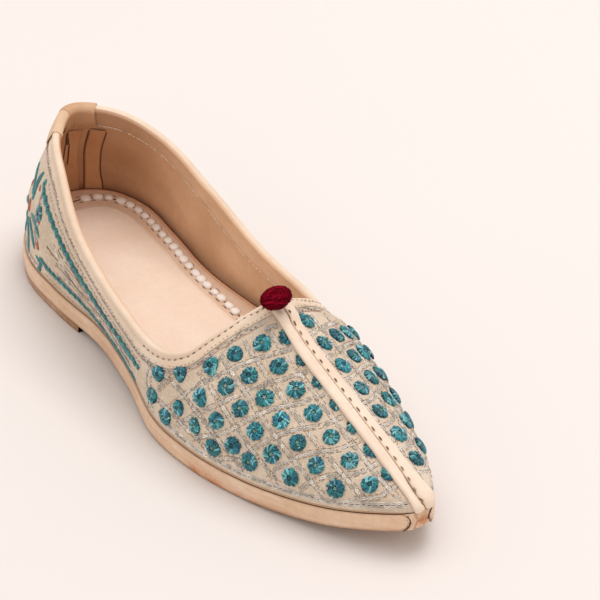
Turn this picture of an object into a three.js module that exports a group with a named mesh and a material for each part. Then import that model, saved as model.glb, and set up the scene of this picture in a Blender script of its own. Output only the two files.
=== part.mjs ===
// A mojari: a low slip-on shoe with a closed pointed vamp, an open collar and a layered leather sole.
// Millimetres. +X runs from heel to toe, +Y to the wearer's left, +Z up, and the shoe stands on z = 0.
// It is a right shoe: its outer side is at -Y. The origin is under the middle of the whole shoe.
import * as THREE from "three";
import { mergeVertices } from "three/addons/utils/BufferGeometryUtils.js";

// Last and upper
const LENGTH = 255; // heel back to toe tip, along the line where upper and sole meet
const BALL_WIDTH = 82; // across the ball, at that same line
const TOE_WIDTH = 9; // the blunt tip
const SWING = 7; // how far the middle of the last bows to the outer side
const BACK_HEIGHT = 63.4; // floor to the upper's edge at the heel
const SIDE_HEIGHT = 38.6; // floor to the lowest point of the upper's edge, beside the arch
const INSTEP_HEIGHT = 61.2; // floor to the upper's edge at the throat, on the ridge
const TOE_HEIGHT = 3.4; // sole to the front end of the ridge
const THROAT_AT = 161.5; // heel back to throat
const RIDGE_AT = 251.5; // heel back to the front end of the ridge
const BACK_LEAN = 9.5; // how far the edge at the heel stands in front of the heel's foot
const WALL = 2; // leather and lining together
const SEAM = 0.3; // clearance between neighbouring pieces
const FACET_ROOM = 0.8; // clearance of trim from the curved wall, which is faceted more coarsely

// Sole
const SOLE_THICKNESS = 8.2;
const SOLE_MARGIN = 1.1; // how far the sole stands out past the upper
const SOLE_ROUND = 1.4; // rounding of its lower edge
const EDGE_STRIP = 1.6; // leather strip round the side of the sole
const NOSE_LENGTH = 2.2; // bare tip of the sole between the strip's two ends
const NOSE_REACH = 0.4; // how far that tip stands out past the upper
const HEEL_LIFT = 3.2;
const HEEL_LENGTH = 70;
const HEEL_INSET = 0.6;
const TOE_SPRING = 11.8; // floor to the sole's underside at the tip
const ARCH_RISE = 0.9; // extra rise of the underside at the waist
const BALL_BACK = 150; // the sole's flat stretch starts here
const BALL_FRONT = 181; // and ends here, where the toe spring begins

// Insole
const INSOLE_THICKNESS = 5.6;
const INSOLE_END = 238; // heel back to its front end, hidden inside the toe
const PAD_BORDER = 12.5; // border that carries the white stitches
const PAD_DEPTH = 2.4; // depth of the recess that the pad lies in
const PAD_DROP = 0.7; // the pad's top lies this far under the border
const PAD_END = 205;

// Trim
const BINDING_THICKNESS = 1.1;
const BINDING_WIDTH = 7; // outside leg
const BINDING_INSIDE = 9.5; // inside leg
const STRAP_OUTER_WIDTH = 4.7;
const STRAP_INNER_WIDTH = 5.6;
const STRAP_ASIDE = 0.8; // how far the groove between the straps lies to the inner side of the ridge
const STRAP_THICKNESS = 1.7; // outer strap, folded over
const STRAP_THIN = 1.2; // inner strap, single
const STRAP_GAP = 0.5; // groove between the two straps, for the stitches
const TAB_LENGTH = 26; // along the collar, across the heel back
const TAB_THICKNESS = 1.5;
const TAB_OUTSIDE = 9;
const TAB_INSIDE = 14;
const POMPOM_WIDTH = 13.6; // across the shoe
const POMPOM_DEPTH = 9.4; // along the shoe
const POMPOM_HEIGHT = 8.8;
const POMPOM_FORWARD = 3.2; // from the throat edge
const POMPOM_ASIDE = 1.6; // from the ridge, towards the outer side
const STRAND_COUNT = 9; // turns of wool that show round the pompom
const STRAND_RISE = 0.35;

// The line where upper and sole meet, toe to heel: at is a share of LENGTH, and outer and inner are
// distances from the bowed centreline as shares of half BALL_WIDTH. The toe's first row is TOE_WIDTH.
const OUTLINE = [
  { at: 0.955, outer: 0.33, inner: 0.34 },
  { at: 0.9, outer: 0.525, inner: 0.55 },
  { at: 0.83, outer: 0.69, inner: 0.725 },
  { at: 0.75, outer: 0.84, inner: 0.89 },
  { at: 0.66, outer: 0.955, inner: 1.0 },
  { at: 0.56, outer: 0.965, inner: 0.985 },
  { at: 0.45, outer: 0.79, inner: 0.83 },
  { at: 0.33, outer: 0.69, inner: 0.71 },
  { at: 0.21, outer: 0.75, inner: 0.74 },
  { at: 0.11, outer: 0.735, inner: 0.72 },
  { at: 0.035, outer: 0.49, inner: 0.48 },
];

// The edge of the opening, throat to heel: at is a share of LENGTH, outer and inner are shares of half
// BALL_WIDTH from the centreline, and up the share of the way from SIDE_HEIGHT to INSTEP_HEIGHT in front of the corner
// and to BACK_HEIGHT behind it.
const COLLAR = [
  { at: 0.622, outer: 0.3, inner: 0.3, up: 0.77, front: true },
  { at: 0.611, outer: 0.56, inner: 0.56, up: 0.5, front: true },
  { at: 0.592, outer: 0.76, inner: 0.75, up: 0.18, front: true },
  { at: 0.548, outer: 0.87, inner: 0.855, up: 0.0, front: false },
  { at: 0.424, outer: 0.85, inner: 0.83, up: 0.1, front: false },
  { at: 0.285, outer: 0.78, inner: 0.76, up: 0.5, front: false },
  { at: 0.18, outer: 0.6, inner: 0.62, up: 0.89, front: false },
  { at: 0.085, outer: 0.34, inner: 0.38, up: 1.0, front: false },
];

// The vamp's ridge between its two ends: at is the share of the way from RIDGE_AT back to THROAT_AT,
// and up the share of the way from the toe's top to INSTEP_HEIGHT.
const RIDGE = [
  { at: 0.15, up: 0.205 },
  { at: 0.4, up: 0.46 },
  { at: 0.7, up: 0.735 },
];

// How the sections leave the sole and reach the ridge or the edge, as slopes
const VAMP_LEAN = 0.2; // outward lean of the vamp where it leaves the sole
const TOE_SLOPE = 0.22; // rise towards the ridge at the toe, which leaves a soft peak
const THROAT_SLOPE = 0.46; // and at the throat
const SIDE_BULGE = 0.22;
const HEEL_BULGE = 0.24;
const FULLNESS = 0.42; // handle length as a share of a section's chord
const THROAT_SHARE = 0.345; // share of each side's outline, from the toe, that belongs to the vamp's ridge
const CORNER_SHARE = 0.425; // and the share at which the edge turns from the vamp to the side
const CORNER_ROW = 3; // the row of COLLAR at that corner
const TIP_SHARE = 0.06; // share over which the toe's front turns into its side

// How finely the pieces are faceted
const VAMP_STEPS = 16;
const CORNER_STEPS = 10;
const SIDE_STEPS = 18;
const HEIGHT_STEPS = 12;
const SOLE_STEPS = 34;
const PEAK_STEP = 0.004; // share of the edge
const CURVE_STEPS = 24;
const WALL_FINER = 3; // the fine copy of the wall that trim is seated on
const WALL_ROWS = 40;

const HALF = BALL_WIDTH / 2;
const UP = new THREE.Vector3(0, 0, 1);
const lerp = THREE.MathUtils.lerp;
const smooth = (x) => THREE.MathUtils.smoothstep(x, 0, 1);
const crowded = (x) => lerp(x, smooth(x), 0.75); // spaces steps closer near 0 and 1, where the form is tight
const vec = (x, y, z = 0) => new THREE.Vector3(x, y, z);
const centre = (x) => -SWING * Math.sin((Math.PI * x) / LENGTH);

// A polyline read by its share of length, so that a section is found by how far round the shoe it lies.
function pathOf(points) {
  const lengths = [0];
  points.slice(1).forEach((p, i) => lengths.push(lengths[i] + p.distanceTo(points[i])));
  const total = lengths[lengths.length - 1];
  return (share) => {
    const wanted = Math.min(Math.max(share, 0), 1) * total;
    const next = Math.max(1, lengths.findIndex((d) => d >= wanted - 1e-9));
    const part = (wanted - lengths[next - 1]) / (lengths[next] - lengths[next - 1]);
    return points[next - 1].clone().lerp(points[next], part);
  };
}

// A closed curve through first, the outer points, last and the inner points back, cut into its two sides.
function twoSides(first, outer, last, inner) {
  const knots = [first, ...outer, last, ...inner.slice().reverse()];
  const dense = new THREE.CatmullRomCurve3(knots, true, "centripetal").getPoints(knots.length * CURVE_STEPS);
  const middle = (outer.length + 1) * CURVE_STEPS;
  return { outer: dense.slice(0, middle + 1), inner: dense.slice(middle).reverse() };
}

// Underside of the sole, and its top, where the upper stands
function underside(x) {
  if (x > BALL_BACK) return TOE_SPRING * Math.max(0, (x - BALL_FRONT) / (LENGTH - BALL_FRONT)) ** 2;
  const back = Math.min(1, (BALL_BACK - x) / (BALL_BACK - HEEL_LENGTH));
  return HEEL_LIFT * smooth(back) + ARCH_RISE * Math.sin(Math.PI * back);
}
const soleTop = (x) => underside(x) + SOLE_THICKNESS;

function footprint() {
  const tip = { at: 0.998, outer: TOE_WIDTH / BALL_WIDTH, inner: TOE_WIDTH / BALL_WIDTH };
  const rows = [tip, ...OUTLINE];
  const side = (name, sign) =>
    rows.map((row) => vec(row.at * LENGTH, centre(row.at * LENGTH) + sign * row[name] * HALF));
  const { outer, inner } = twoSides(vec(LENGTH, 0), side("outer", -1), vec(0, 0), side("inner", 1));
  return { outer: pathOf(outer), inner: pathOf(inner) };
}

function opening() {
  const back = vec(BACK_LEAN, centre(BACK_LEAN), BACK_HEIGHT);
  const side = (name, sign) =>
    COLLAR.map((row) => {
      const x = row.at * LENGTH;
      const high = row.front ? INSTEP_HEIGHT : BACK_HEIGHT;
      return vec(x, centre(x) + sign * row[name] * HALF, lerp(SIDE_HEIGHT, high, row.up));
    });
  const { outer, inner } = twoSides(throat, side("outer", -1), back, side("inner", 1));
  const corner = (CORNER_ROW + 1) * CURVE_STEPS;
  const cut = (points) => [pathOf(points.slice(0, corner + 1)), pathOf(points.slice(corner))];
  return { outer: cut(outer), inner: cut(inner) };
}

const throat = vec(THROAT_AT, centre(THROAT_AT), INSTEP_HEIGHT);
const toeTop = vec(RIDGE_AT, centre(RIDGE_AT), soleTop(RIDGE_AT) + TOE_HEIGHT);
const ridgeKnots = RIDGE.map((row) => {
  const x = lerp(RIDGE_AT, THROAT_AT, row.at);
  return vec(x, centre(x), lerp(toeTop.z, INSTEP_HEIGHT, row.up));
});
const ridge = pathOf(
  new THREE.CatmullRomCurve3([toeTop, ...ridgeKnots, throat], false, "centripetal").getPoints(
    (RIDGE.length + 1) * CURVE_STEPS,
  ),
);
const feather = footprint();
const collar = opening();

// The edge of the opening at a share of a side's outline
function edge(name, share) {
  const [front, back] = collar[name];
  if (share > CORNER_SHARE) return back((share - CORNER_SHARE) / (1 - CORNER_SHARE));
  return front(Math.max(0, share - THROAT_SHARE) / (CORNER_SHARE - THROAT_SHARE));
}

// Places round the shoe are turns from 0 to 2: 0 is the toe, 1 the heel, and the outer side comes first.
function sideOf(turn) {
  const wrapped = ((turn % 2) + 2) % 2;
  return wrapped <= 1 ? { name: "outer", share: wrapped } : { name: "inner", share: 2 - wrapped };
}

// A point of the footprint, moved outwards by offset.
function foot(turn, offset = 0) {
  const at = (t) => feather[sideOf(t).name](sideOf(t).share);
  const step = 0.004;
  const along = at(turn + step).sub(at(turn - step)).normalize();
  const out = vec(-along.y, along.x);
  return { point: at(turn).addScaledVector(out, offset), out };
}

// The turn at which a side of the footprint passes a length from the heel.
function turnAt(name, x) {
  let [front, back] = [0, 1];
  for (let i = 0; i < 40; i += 1) {
    const middle = (front + back) / 2;
    if (feather[name](middle).x > x) front = middle;
    else back = middle;
  }
  return name === "outer" ? front : 2 - front;
}

// The section at a turn: a curve up the outside of the upper, from the sole to the ridge or the edge.
function section(turn) {
  const { name, share } = sideOf(turn);
  const { point, out } = foot(turn);
  const base = vec(point.x, point.y, soleTop(point.x) + SEAM);
  const top = share <= THROAT_SHARE ? ridge(share / THROAT_SHARE) : edge(name, share);
  const chord = top.clone().sub(base);
  const length = chord.length();
  chord.normalize();
  const quarter = smooth((share - THROAT_SHARE) / (CORNER_SHARE - THROAT_SHARE));
  const bulge = lerp(SIDE_BULGE, HEEL_BULGE, Math.max(0, -out.x));
  const inward = vec(0, name === "outer" ? 1 : -1).lerp(vec(-1, 0), 1 - Math.min(1, share / TIP_SHARE));
  const leave = UP.clone().addScaledVector(out, VAMP_LEAN).normalize();
  leave.lerp(chord.clone().addScaledVector(out, bulge).normalize(), quarter).normalize();
  const rise = lerp(TOE_SLOPE, THROAT_SLOPE, Math.min(1, share / THROAT_SHARE));
  const arrive = inward.normalize().addScaledVector(UP, rise).normalize();
  arrive.lerp(chord.clone().addScaledVector(out, -bulge).normalize(), quarter).normalize();
  const handle = FULLNESS * length;
  return new THREE.CubicBezierCurve3(
    base,
    base.clone().addScaledVector(leave, handle),
    top.clone().addScaledVector(arrive, -handle),
    top,
  );
}

// Closed geometry from triangles of points: shared corners are merged and empty triangles dropped.
function solidFrom(triangles) {
  const raw = new THREE.BufferGeometry().setFromPoints(triangles.flat());
  const merged = mergeVertices(raw, 1e-3);
  const index = [];
  for (let i = 0; i < merged.index.count; i += 3) {
    const [a, b, c] = [0, 1, 2].map((k) => merged.index.getX(i + k));
    if (a !== b && b !== c && c !== a) index.push(a, b, c);
  }
  merged.setIndex(index);
  merged.computeVertexNormals();
  return merged;
}

// Two triangles for the quad a, b, c, d
const quad = (a, b, c, d) => [[a, b, c], [a, c, d]];

// A solid between two sheets of points. Each row has as many points over as under. A closed slab runs
// round in a ring, and an open one gets its two ends.
function slab(rows, closed = false) {
  const faces = [];
  const last = rows.length - 1;
  for (let i = 0; i < rows.length - (closed ? 0 : 1); i += 1) {
    const [a, b] = [rows[i], rows[(i + 1) % rows.length]];
    const wide = a.over.length - 1;
    for (let j = 0; j < wide; j += 1) {
      faces.push(...quad(a.over[j], b.over[j], b.over[j + 1], a.over[j + 1]));
      faces.push(...quad(a.under[j], a.under[j + 1], b.under[j + 1], b.under[j]));
    }
    faces.push(...quad(a.over[0], a.under[0], b.under[0], b.over[0]));
    faces.push(...quad(a.over[wide], b.over[wide], b.under[wide], a.under[wide]));
  }
  if (!closed) {
    for (let j = 0; j < rows[0].over.length - 1; j += 1) {
      const [a, b] = [rows[0], rows[last]];
      faces.push(...quad(a.over[j], a.over[j + 1], a.under[j + 1], a.under[j]));
      faces.push(...quad(b.over[j], b.under[j], b.under[j + 1], b.over[j + 1]));
    }
  }
  return facingOut(faces);
}

function facingOut(faces) {
  const volume = faces.reduce((sum, [a, b, c]) => sum + a.dot(b.clone().cross(c)), 0);
  return solidFrom(volume < 0 ? faces.map(([a, b, c]) => [a, c, b]) : faces);
}

// Turns at which the upper is cut into sections, all the way round, the steps made finer times smaller
function upperTurns(finer = 1) {
  const steps = (count, make) => Array.from({ length: count * finer }, (_, i) => make(i / count / finer));
  const half = [
    ...steps(VAMP_STEPS, (part) => THROAT_SHARE * crowded(part)),
    ...steps(CORNER_STEPS, (part) => lerp(THROAT_SHARE, CORNER_SHARE, part)),
    ...steps(SIDE_STEPS, (part) => lerp(CORNER_SHARE, 1, part)),
    1,
  ];
  return [...half, ...half.slice(1, -1).reverse().map((turn) => 2 - turn)];
}

// The upper's outer face as a sheet, with its normals
function outerSheet(turns, rows) {
  const columns = turns.map((turn) => {
    const curve = section(turn);
    return Array.from({ length: rows + 1 }, (_, j) => curve.getPoint(1 - (1 - j / rows) ** 1.3));
  });
  const faces = [];
  columns.forEach((a, i) => {
    const b = columns[(i + 1) % columns.length];
    for (let j = 0; j < rows; j += 1) faces.push(...quad(a[j], a[j + 1], b[j + 1], b[j]));
  });
  return solidFrom(faces);
}

// The upper: its outer face, the same face one wall further in, and the two rims that join them.
function upperGeometry() {
  const sheet = outerSheet(upperTurns(), HEIGHT_STEPS);
  const { position } = sheet.attributes;
  const feet = upperTurns().map((turn) => section(turn).v0);
  const isFoot = (p) => feet.some((q) => q.distanceTo(p) < 1e-2);
  const outside = [];
  const inside = [];
  for (let i = 0; i < position.count; i += 1) {
    const p = vec(0, 0).fromBufferAttribute(position, i);
    const q = p.clone().addScaledVector(seat(p).out, -WALL);
    if (isFoot(p)) q.z = soleTop(q.x) + SEAM; // the lower rim stands on the sole
    outside.push(p);
    inside.push(q);
  }
  const faces = [];
  const edges = new Map();
  for (let i = 0; i < sheet.index.count; i += 3) {
    const t = [0, 1, 2].map((k) => sheet.index.getX(i + k));
    faces.push(t.map((k) => outside[k]), [t[0], t[2], t[1]].map((k) => inside[k]));
    t.forEach((a, k) => edges.set(`${a},${t[(k + 1) % 3]}`, [a, t[(k + 1) % 3]]));
  }
  for (const [a, b] of edges.values()) {
    if (!edges.has(`${b},${a}`)) faces.push(...quad(outside[b], outside[a], inside[a], inside[b]));
  }
  return facingOut(faces);
}

// The wall as many small places, each with its normal, so that trim can be seated on it. Places on the
// very edge are left out, since a normal there has the wall on one side only.
function wallPlaces() {
  const turns = upperTurns(WALL_FINER);
  const { position, normal } = outerSheet(turns, WALL_ROWS).attributes;
  const rim = turns.filter((turn) => sideOf(turn).share >= THROAT_SHARE).map((turn) => section(turn).v3);
  const places = Array.from({ length: position.count }, (_, i) => ({
    point: vec(0, 0).fromBufferAttribute(position, i),
    out: vec(0, 0).fromBufferAttribute(normal, i),
  }));
  return places.filter(({ point }) => !rim.some((top) => top.distanceToSquared(point) < 1e-6));
}
const wall = wallPlaces();

// The place on the wall nearest to a point
function seat(point) {
  const nearest = wall.reduce((best, place) =>
    place.point.distanceToSquared(point) < best.point.distanceToSquared(point) ? place : best,
  );
  const above = point.clone().sub(nearest.point).dot(nearest.out);
  return { point: point.clone().addScaledVector(nearest.out, -above), out: nearest.out };
}

const lifted = (place, height) => place.point.clone().addScaledVector(place.out, height);

// The whole edge of the opening by its share of length, from the throat round the outer side and back
const edgePoints = ["outer", "inner"].flatMap((name) => {
  const side = Array.from({ length: 161 }, (_, i) => edge(name, lerp(THROAT_SHARE, 1, i / 160)));
  return name === "outer" ? side : side.reverse().slice(1);
});
const wholeEdge = pathOf(edgePoints);

const EDGE_LENGTH = edgePoints.slice(1).reduce((sum, p, i) => sum + p.distanceTo(edgePoints[i]), 0);
const shareNear = (point) =>
  Array.from({ length: 2001 }, (_, i) => i / 2000).reduce((best, share) =>
    wholeEdge(share).distanceToSquared(point) < wholeEdge(best).distanceToSquared(point) ? share : best,
  );
const heelShare = shareNear(section(1).v3);

// Shares of the edge at which the upper itself is cut, so that the trim's facets follow the wall's. The
// peak at the throat gets a station of its own and one close by on each side.
function edgeStations() {
  const turns = upperTurns().filter((turn) => sideOf(turn).share > THROAT_SHARE + 1e-6);
  return [...turns.map((turn) => shareNear(section(turn).v3)), 0, PEAK_STEP, 1 - PEAK_STEP];
}

// A frame on the edge at a share of its length: the point, the wall's normal, and the way down the wall
function edgeFrame(share) {
  const at = (t) => wholeEdge(t - Math.floor(t));
  const step = 0.004;
  const along = at(share + step).sub(at(share - step)).normalize();
  const point = at(share);
  const first = seat(point).out;
  const across = vec(0, 0).crossVectors(first, along).normalize();
  const inFront = seat(point.clone().addScaledVector(across, 3)).point.distanceTo(point) > 1.5;
  const rough = inFront ? across : across.negate();
  const down = seat(point.clone().addScaledVector(rough, 4)).point.sub(point).normalize();
  const out = vec(0, 0).crossVectors(down, along).normalize();
  return { point, out: out.dot(first) > 0 ? out : out.negate(), down };
}

// A fold over the edge of the opening: a leg down the outside, over the top, and a leg down the inside.
// near is the height of its inner face over the wall, and thick its own thickness.
function fold(share, near, thick, outside, inside) {
  const { point, out, down } = edgeFrame(share);
  const place = (depth) => (depth > 0 ? seat(point.clone().addScaledVector(down, depth)) : { point, out });
  const outer = [outside, outside / 2, 0].map(place);
  const inner = [0, inside / 2, inside].map(place);
  const far = WALL + near;
  const crown = (height) => [
    point.clone().addScaledVector(out, height * 0.4).addScaledVector(down, -height),
    point.clone().addScaledVector(out, -WALL - height * 0.4).addScaledVector(down, -height),
  ];
  return {
    over: [
      ...outer.map((p) => lifted(p, near + thick)),
      ...crown(near + thick),
      ...inner.map((p) => lifted(p, -far - thick)),
    ],
    under: [...outer.map((p) => lifted(p, near)), ...crown(near), ...inner.map((p) => lifted(p, -far))],
  };
}

// Shares of the edge within a reach of the heel back, or all the others, with both ends
function edgeShares(reach, nearHeel) {
  const part = reach / EDGE_LENGTH;
  const fromHeel = edgeStations().map((share) => ((share - heelShare + 1) % 1));
  const [from, to] = nearHeel ? [-part, part] : [part, 1 - part];
  const turned = nearHeel ? fromHeel.map((share) => (share > 0.5 ? share - 1 : share)) : fromHeel;
  const inside = turned.filter((share) => share > from + 0.004 && share < to - 0.004);
  return [from, ...inside.sort((a, b) => a - b), to].map((share) => share + heelShare);
}

// The binding runs round the opening from one end of the heel tab to the other
function bindingGeometry() {
  const shares = edgeShares(TAB_LENGTH / 2, false);
  return slab(
    shares.map((share) => fold(share, FACET_ROOM, BINDING_THICKNESS, BINDING_WIDTH, BINDING_INSIDE)),
  );
}

function tabGeometry() {
  const shares = edgeShares(TAB_LENGTH / 2 - SEAM, true);
  return slab(shares.map((share) => fold(share, FACET_ROOM, TAB_THICKNESS, TAB_OUTSIDE, TAB_INSIDE)));
}

// One of the two straps on the ridge. It runs from the throat edge to the toe, down the front of the
// toe to the sole, and climbs over the binding at the throat.
function strapGeometry(sign, strapWidth, thickness) {
  const path = [];
  const steps = 26;
  for (let i = 0; i < steps; i += 1) path.push(ridge(1 - i / steps));
  const front = section(0);
  [0.85, 0.25].forEach((share) => path.push(front.getPoint(share)));
  const climb = BINDING_WIDTH + 5;
  const over = BINDING_THICKNESS + 2 * SEAM;
  const rows = path.map((point) => {
    const onFront = Math.min(1, Math.max(0, point.x - RIDGE_AT) / (LENGTH - RIDGE_AT));
    const lift = FACET_ROOM + SEAM / 2 + over * smooth((THROAT_AT + climb - point.x) / (climb - BINDING_WIDTH));
    const place = (aside) => {
      const found = seat(vec(point.x, point.y + sign * aside + STRAP_ASIDE, point.z));
      const out = found.out.clone();
      out.y = sign * Math.max(0, sign * out.y); // the two straps never lean over each other
      return { point: found.point, out };
    };
    const width = Math.min(strapWidth, lerp(strapWidth, TOE_WIDTH / 2, onFront));
    const across = [STRAP_GAP / 2, width / 2, width].map(place);
    const crown = [0.75, 1, 0.7];
    return {
      over: across.map((p, i) => lifted(p, lift + thickness * crown[i])),
      under: across.map((p) => lifted(p, lift)),
    };
  });
  return slab(rows);
}

// Turns round a flat piece, from the outer side at a length from the heel, round the heel, to the same
// length on the inner side. A piece as long as the shoe starts and ends at the toe.
function turnsRound(front, steps) {
  const ends = front < LENGTH ? [turnAt("outer", front), turnAt("inner", front)] : [0, 2];
  return Array.from({ length: 2 * steps + 1 }, (_, i) => {
    const half = crowded(i <= steps ? i / steps : 2 - i / steps) / 2;
    return lerp(ends[0], ends[1], i <= steps ? half : 1 - half);
  });
}

// A ring of points at the turns: offset and height are functions of the turn and of the length
const ring = (turns, offset, height) =>
  turns.map((turn) => {
    const { point } = foot(turn, offset(turn));
    return vec(point.x, point.y, height(point.x));
  });

// A solid that goes from ring to ring, closed across its first and last one
function plate(rings) {
  const faces = [];
  const count = rings[0].length;
  rings.slice(1).forEach((b, k) => {
    const a = rings[k];
    for (let i = 0; i < count; i += 1) {
      const next = (i + 1) % count;
      faces.push(...quad(a[i], a[next], b[next], b[i]));
    }
  });
  const [first, last] = [rings[0], rings[rings.length - 1]];
  for (let i = 0; i < (count - 1) / 2; i += 1) {
    const far = count - 1 - i;
    faces.push(...quad(first[i], first[far], first[far - 1], first[i + 1]));
    faces.push(...quad(last[i], last[i + 1], last[far - 1], last[far]));
  }
  return facingOut(faces);
}

function outsoleGeometry() {
  const inset = SOLE_MARGIN - EDGE_STRIP - 1.5 * SEAM;
  const nose = turnAt("outer", LENGTH - NOSE_LENGTH);
  const offset = (turn) => lerp(NOSE_REACH, inset, smooth((2.5 * sideOf(turn).share) / nose - 1));
  const turns = turnsRound(LENGTH, SOLE_STEPS);
  return plate([
    ring(turns, (turn) => offset(turn) - SOLE_ROUND, underside),
    ring(turns, offset, (x) => underside(x) + SOLE_ROUND / 2),
    ring(turns, offset, soleTop),
  ]);
}

function edgeStripGeometry() {
  const turns = turnsRound(LENGTH - NOSE_LENGTH, SOLE_STEPS);
  const face = (offset, height) => ring(turns, () => offset, height);
  const back = SOLE_MARGIN - EDGE_STRIP;
  const low = (x) => underside(x) + SEAM; // the strip stays just off the floor
  const over = [
    face(SOLE_MARGIN, soleTop),
    face(SOLE_MARGIN, (x) => underside(x) + SOLE_ROUND),
    face(SOLE_MARGIN - SOLE_ROUND / 2, low),
  ];
  const under = [face(back, soleTop), face(back, (x) => underside(x) + SOLE_ROUND), face(back, low)];
  return slab(turns.map((_, i) => ({ over: over.map((r) => r[i]), under: under.map((r) => r[i]) })));
}

function heelLiftGeometry() {
  const turns = turnsRound(HEEL_LENGTH - HEEL_INSET, 20);
  const offset = () => SOLE_MARGIN - HEEL_INSET;
  return plate([ring(turns, offset, () => 0), ring(turns, offset, () => HEEL_LIFT - SEAM)]);
}

function insoleGeometry() {
  const turns = turnsRound(INSOLE_END, SOLE_STEPS);
  const edge = () => -(WALL + 2 * SEAM);
  const padTurns = turnsRound(PAD_END, SOLE_STEPS);
  const recess = () => -PAD_BORDER;
  return plate([
    ring(turns, edge, (x) => soleTop(x) + SEAM),
    ring(turns, edge, (x) => soleTop(x) + INSOLE_THICKNESS),
    ring(padTurns, recess, (x) => soleTop(x) + INSOLE_THICKNESS),
    ring(padTurns, recess, (x) => soleTop(x) + INSOLE_THICKNESS - PAD_DEPTH),
  ]);
}

function padGeometry() {
  const turns = turnsRound(PAD_END - SEAM, SOLE_STEPS);
  const offset = () => -PAD_BORDER - SEAM;
  return plate([
    ring(turns, offset, (x) => soleTop(x) + INSOLE_THICKNESS - PAD_DEPTH + SEAM),
    ring(turns, offset, (x) => soleTop(x) + INSOLE_THICKNESS - PAD_DROP),
  ]);
}

// The pompom: an oval ball of wool whose wound strands stand out as low ridges
function pompomGeometry() {
  const [rings, sides] = [14, 27];
  const radii = vec(POMPOM_DEPTH / 2, POMPOM_WIDTH / 2, POMPOM_HEIGHT / 2);
  const at = (ring, side) => {
    const polar = (Math.PI * ring) / rings;
    const round = (2 * Math.PI * side) / sides;
    const strand = Math.cos(STRAND_COUNT * round + 4 * polar) * Math.sin(polar) * STRAND_RISE;
    const unit = vec(Math.sin(polar) * Math.cos(round), -Math.cos(polar), Math.sin(polar) * Math.sin(round));
    return unit.clone().multiply(radii).addScaledVector(unit, strand - STRAND_RISE);
  };
  const faces = [];
  for (let i = 0; i < rings; i += 1) {
    for (let j = 0; j < sides; j += 1) {
      faces.push(...quad(at(i, j), at(i + 1, j), at(i + 1, (j + 1) % sides), at(i, (j + 1) % sides)));
    }
  }
  return facingOut(faces);
}

const leather = (color) => new THREE.MeshStandardMaterial({ color, roughness: 0.6, metalness: 0 });
const natural = leather(0xd9a877);
const cream = leather(0xf0cfae);
const embroidered = leather(0xdcc6a8);
const lining = leather(0xd9a680);
const wool = new THREE.MeshStandardMaterial({ color: 0x7a0a2a, roughness: 0.95, metalness: 0 });

const shoe = new THREE.Group();
function add(name, geometry, material) {
  const mesh = new THREE.Mesh(geometry, material);
  mesh.name = name;
  shoe.add(mesh);
  return mesh;
}

add("outsole", outsoleGeometry(), natural);
add("sole_edge_strip", edgeStripGeometry(), natural);
add("heel_lift", heelLiftGeometry(), natural);
add("insole", insoleGeometry(), lining);
add("insole_pad", padGeometry(), cream);
add("upper", upperGeometry(), embroidered);
add("collar_binding", bindingGeometry(), cream);
add("heel_tab", tabGeometry(), cream);
add("vamp_strap_outer", strapGeometry(-1, STRAP_OUTER_WIDTH, STRAP_THICKNESS), cream);
add("vamp_strap_inner", strapGeometry(1, STRAP_INNER_WIDTH, STRAP_THIN), cream);
const onRidge = seat(vec(THROAT_AT + POMPOM_FORWARD, throat.y, INSTEP_HEIGHT));
const stack = FACET_ROOM + BINDING_THICKNESS + STRAP_THICKNESS + POMPOM_HEIGHT / 2;
const pompom = add("pompom", pompomGeometry(), wool);
pompom.position.copy(lifted(onRidge, stack)).add(vec(0, -POMPOM_ASIDE));

// The origin goes under the middle of the whole shoe
const whole = new THREE.Box3().setFromObject(shoe);
shoe.position.set(-(whole.min.x + whole.max.x) / 2, -(whole.min.y + whole.max.y) / 2, 0);

export default shoe;
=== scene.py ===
import bpy
import math
import numpy as np
from mathutils import Matrix, Vector
from mathutils.kdtree import KDTree


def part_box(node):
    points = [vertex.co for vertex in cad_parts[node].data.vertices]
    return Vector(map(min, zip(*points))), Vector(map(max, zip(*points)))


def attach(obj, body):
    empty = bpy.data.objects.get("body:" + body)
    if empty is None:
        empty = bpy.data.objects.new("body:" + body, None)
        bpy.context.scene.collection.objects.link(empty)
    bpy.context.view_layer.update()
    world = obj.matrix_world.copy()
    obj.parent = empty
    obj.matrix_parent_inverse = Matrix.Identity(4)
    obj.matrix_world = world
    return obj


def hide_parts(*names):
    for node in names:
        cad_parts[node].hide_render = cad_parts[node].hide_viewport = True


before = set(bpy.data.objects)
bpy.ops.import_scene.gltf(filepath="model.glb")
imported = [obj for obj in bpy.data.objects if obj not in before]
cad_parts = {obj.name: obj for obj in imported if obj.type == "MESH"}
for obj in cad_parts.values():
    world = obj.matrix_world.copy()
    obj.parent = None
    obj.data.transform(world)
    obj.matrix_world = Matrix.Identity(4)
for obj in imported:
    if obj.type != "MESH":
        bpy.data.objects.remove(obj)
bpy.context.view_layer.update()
rng = np.random.default_rng(7)

LENGTH = 255.0
BALL_WIDTH = 82.0
TOE_WIDTH = 9.0
SWING = 7.0
BACK_HEIGHT = 63.4
SIDE_HEIGHT = 38.6
INSTEP_HEIGHT = 61.2
TOE_HEIGHT = 3.4
THROAT_AT = 161.5
RIDGE_AT = 251.5
BACK_LEAN = 9.5
WALL = 2.0
SEAM = 0.3
SOLE_THICKNESS = 8.2
SOLE_MARGIN = 1.1
HEEL_LIFT = 3.2
HEEL_LENGTH = 70.0
TOE_SPRING = 11.8
ARCH_RISE = 0.9
BALL_BACK = 150.0
BALL_FRONT = 181.0
INSOLE_THICKNESS = 5.6

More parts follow.
